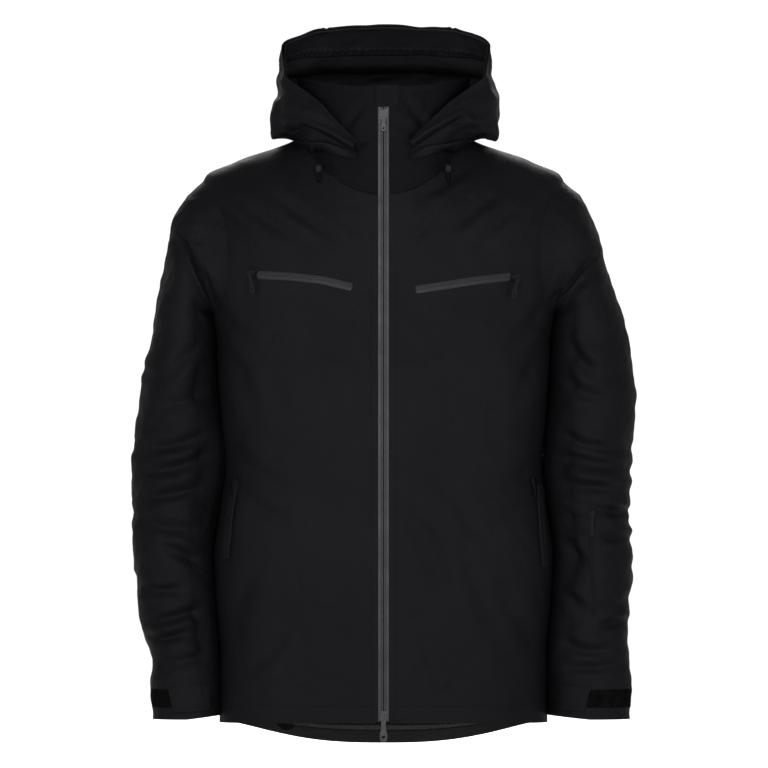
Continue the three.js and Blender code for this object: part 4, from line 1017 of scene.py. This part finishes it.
# forearm pocket
o, _ = strip("forearm_zip_band", np.array([(273.7, 306.9), (269.8, 265.3), (269.2, 238), (272.4, 208.1), (273.7, 165.2)]), 5.0, 0.0, SLEEVE, lambda a, b: arm_point("left", a, b), ridge=0.25)
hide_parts("sleeve_zip")
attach(o, "forearm_left")


# ------------------------------------------------------------------ cuffs
for side_name, sg in SIDES:
    for nm, d0, d1, t0, t1, lift, mat, body, slot_name in (
        (f"cuff_loop_patch_{side_name}", 100, 186 if sg > 0 else 160, 12.68, 13.42, 1.2, LOOP, f"forearm_{side_name}", "hook_and_loop"),
        (f"cuff_tab_{side_name}", 182 if sg > 0 else 156, 219, 12.55, 13.6, 2.6, SLEEVE, f"cuff_tab_body_{side_name}", "shell_fabric"),
    ):
        deg = np.linspace(d0, d1, 44)[:, None]
        t = np.linspace(t0, t1, 30)[None, :]
        if "tab" in nm:
            # the free end is cut at a slant
            deg = deg + (t - (t0 + t1) / 2) * 7 * (d1 - deg) / (d1 - d0)
        P = sleeve(sg, deg, t)
        C = arm_center(sg, t * np.ones_like(deg))
        N = normals(P, P - C)
        e = np.minimum(np.minimum(np.linspace(0, 1, 44)[:, None], np.linspace(1, 0, 44)[:, None]) * 50, np.minimum(np.linspace(0, 1, 30)[None, :], np.linspace(1, 0, 30)[None, :]) * 30)
        D = lift + 0.5 * np.clip(e / 2.5, 0, 1) - (0.45 * np.exp(-(((e - 3.4) / 0.7) ** 2)) if "tab" in nm else 0)
        o = sheet_mesh(nm + "_look", P + N * D[..., None], N, 1.1, mat)
        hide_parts(nm)
        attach(o, body)


# ------------------------------------------------------------------ materials of the CAD pieces that stay
def paint(node_name, mat):
    me = NODES[node_name].data
    me.materials.clear()
    me.materials.append(mat)


for n in NODES:
    if n.startswith("main_"):
        if "slider" in n or "puller" in n:
            paint(n, METAL)
    elif n.startswith("sleeve_slider") or n == "sleeve_puller":
        paint(n, DARK_METAL)
    elif "slider" in n:
        paint(n, PLASTIC)
    elif "puller" in n or "cord_lock" in n:
        paint(n, PLASTIC)
    elif "hood_cord" in n:
        paint(n, CORD)
    elif n == "body_insulation":
        paint(n, WADDING)
    elif n in ("powder_skirt",) or "bag" in n:
        paint(n, LINING)
    elif n == "zip_garage":
        # the zip garage takes the collar's darker copy of the shell cloth: painted shade
        paint(n, COLLAR_PAINTED_SHADE)
    elif n == "hanger_loop":
        paint(n, TAPE)

# ------------------------------------------------------------------ powder skirt, storm flap and the band inside the tail
def ring_piece(name, deg0, deg1, nu, rows, nv, thick, mat, gathers, amp, wrap, node_name):
    """A gathered band inside the body. rows: (share of the body's size, height) from top to bottom."""
    deg = np.linspace(deg0, deg1, nu + 1 if wrap else nu)
    deg = (deg[:-1] if wrap else deg)[:, None]
    f = np.linspace(0, len(rows) - 1, nv)[None, :]
    rows = np.array(rows, float)
    m, z = np.interp(f, np.arange(len(rows)), rows[:, 0]), np.interp(f, np.arange(len(rows)), rows[:, 1])
    C = torso(deg, 4.0)
    y = -12 + (C[..., 1] + 12) * m
    back = np.clip(np.sin(np.radians(deg)), 0, 1)
    P = np.stack([C[..., 0] * 0.94 * m, y + np.where(y < -12, 16, -14), z - back ** 2 * 16 * f / (len(rows) - 1)], -1)
    N = normals(P, P * np.array([1, 1, 0]) + np.array([0, 12.0, 0]))
    u = np.linspace(0, 1, P.shape[0])[:, None]
    D = amp * np.sin(2 * math.pi * gathers * u + 1.3 * np.sin(2 * math.pi * 7 * u)) * (0.25 + 0.75 * f / (len(rows) - 1)) + 0.8 * waves(P, 51, 45)
    P = P + N * D[..., None]
    o = sheet_mesh(name, P, N, thick, mat, wrap=wrap)
    if node_name:
        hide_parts(node_name)
    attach(o, "jacket_body")
    cloth_of(o, P, wrap=wrap)
    return o


ring_piece("snow_skirt", 0, 360, 420, [(0.985, 236), (0.94, 160), (0.9, 90), (0.885, 52), (0.885, 34)], 60, 1.4, LINING, 46, 1.5, True, "powder_skirt")

z = np.linspace(34, 838, 260)[None, :]
x = np.linspace(-10.6, 10.6, 15)[:, None]
P = np.stack([x + 0 * z, zip_y(z) + 5.5 + 0.25 * np.sin(z / 3.1) + 0 * x, z + 0 * x], -1)
P[..., 1] += 0.5 * np.exp(-((np.abs(x) - 8.6) / 0.5) ** 2)
NF_ = np.zeros_like(P)
NF_[..., 1] = -1
fp = sheet_mesh("wind_flap", P, NF_, 1.2, FACING)
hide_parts("storm_flap")
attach(fp, "jacket_body")
cloth_of(fp, P)

# the gathered hem channel shows inside the drop tail
deg, v = np.linspace(56, 118, 260)[:, None], np.linspace(0.36, 0.74, 20)[None, :]
P = torso(deg, v)
N = normals(P, out_torso(P))
g = np.linspace(0, 1, 260)[:, None]
D = -10.6 - 0.8 * np.abs(np.sin(math.pi * 58 * g + 1.1 * np.sin(25 * g))) - 1.2 * np.sin(np.pi * (v - 0.36) / 0.38)
P = P + N * D[..., None]
hb = sheet_mesh("tail_band", P, N, 1.2, HEM_BAND)
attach(hb, "jacket_body")
cloth_of(hb, P)

# the facing turned up inside the tail's edge
deg, v = np.linspace(24, 156, 200)[:, None], np.linspace(0.02, 0.40, 16)[None, :]
P = torso(deg, v)
N = normals(P, out_torso(P))
D = -2.6 + 0.5 * waves(P, 61, 40) - 0.4 * np.exp(-(((v - 0.37) / 0.012) ** 2))
P = P + N * D[..., None]
tf = sheet_mesh("tail_facing", P, N, 0.9, TAIL)
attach(tf, "jacket_body")
cloth_of(tf, P)

# ------------------------------------------------------------------ hood cords
for side_name, sg in SIDES:
    cx, cy = sg * 84, -118
    way = [(cx - 2.6, cy + 6, 767.4), (cx - 2.6, cy + 3, 767), (cx - 2.6, cy - 0.4, 764), (cx - 2.6, cy - 1, 757), (cx - 2.6, cy - 1, 746), (cx - 2.6, cy - 1, 737), (cx - 1.9, cy - 1, 731), (cx, cy - 1, 728.6)]
    way += [(2 * cx - a, b, c) for a, b, c in way[:-1][::-1]]
    way = np.array(way, float)
    dense = hermite(way, np.linspace(0, len(way) - 1, 90))
    length = float(np.linalg.norm(np.diff(dense, axis=0), axis=1).sum()) / 1000
    co_ = tube(f"cord_run_{side_name}", dense, 1.25, CORD, n=14)
    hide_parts(f"hood_cord_{side_name}")
    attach(co_, "jacket_body")
    CUTS[co_.name] = round(length, 4)

# ------------------------------------------------------------------ stitching
def on_front(p):
    return surface_point(None, p[0], p[2])[1]


for side_name, sg in SIDES:
    G, M = (PL, NL) if sg > 0 else (PR, NR)
    col = 4 if sg > 0 else -5
    line = G[col, 6:300] + M[col, 6:300] * 0.2
    o = stitches(f"stitch_zip_{side_name}", line, "jacket_body", lambda c: np.array([0, -1.0, 0.05]))
    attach(o, "jacket_body")
    j = int(round(0.62 / 14 * 329))
    o = stitches(f"stitch_hem_{side_name}", G[3:-3, j] + M[3:-3, j] * 0.2, "jacket_body", lambda c: np.array([c[0] * 0.6, min(c[1], -5.0), 0]) / np.linalg.norm([c[0] * 0.6, min(c[1], -5.0), 0]))
    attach(o, "jacket_body")

# ------------------------------------------------------------------ floor, lights, camera
def flat(name, z, size, color):
    me = bpy.data.meshes.new(name)
    me.from_pydata([(-size, -size, z), (size, -size, z), (size, size, z), (-size, size, z)], [], [(0, 1, 2, 3)])
    m, nt, b = principled(name + "_mat", color, 0.9)
    me.materials.append(m)
    o = bpy.data.objects.new(name, me)
    bpy.context.scene.collection.objects.link(o)
    return o


flat("floor", -0.86, 30, (0.96, 0.96, 0.96))
world = bpy.data.worlds.new("studio")
bpy.context.scene.world = world
world.use_nodes = True
world.node_tree.nodes["Background"].inputs[0].default_value = (1, 1, 1, 1)
world.node_tree.nodes["Background"].inputs[1].default_value = 1.05


def area(name, loc, target, size, power):
    l = bpy.data.lights.new(name, "AREA")
    l.shape = "RECTANGLE"
    l.size, l.size_y = size
    l.energy = power
    o = bpy.data.objects.new(name, l)
    bpy.context.scene.collection.objects.link(o)
    o.location = loc
    d = np.array(target) - np.array(loc)
    from mathutils import Vector
    o.rotation_euler = Vector(d).to_track_quat("-Z", "Y").to_euler()
    return o


area("key", (-0.2, -3.0, 0.2), (0, 0, -0.32), (1.3, 1.3), 185)
area("right", (2.0, -2.3, 0.0), (0, 0, -0.38), (0.7, 1.2), 78)
area("left", (-2.0, -2.3, 0.0), (0, 0, -0.38), (0.7, 1.2), 64)
area("low", (0.2, -2.6, -0.70), (0, 0, -0.72), (1.6, 0.25), 34)
area("back", (0.1, 2.7, 1.25), (0, 0.1, -0.35), (2.0, 0.8), 120)

from mathutils import Vector

cam = bpy.data.cameras.new("camera")
cam.type = "PERSP"
cam.lens = 500
cam.sensor_width = 36
cam.dof.use_dof = False
cam.clip_end = 100
co = bpy.data.objects.new("camera", cam)
bpy.context.scene.collection.objects.link(co)
width_m = 0.9984
dist = width_m * 500 / 36
co.location = (0.00065, -0.072 - 0.07 - dist, (771 - 304.2 - OZ) / 1000)
co.rotation_euler = (math.pi / 2, 0, 0)
bpy.context.scene.camera = co
bpy.context.scene.view_settings.view_transform = "Standard"

for k, c in CUTS.items():
    print("CUT", k, c)
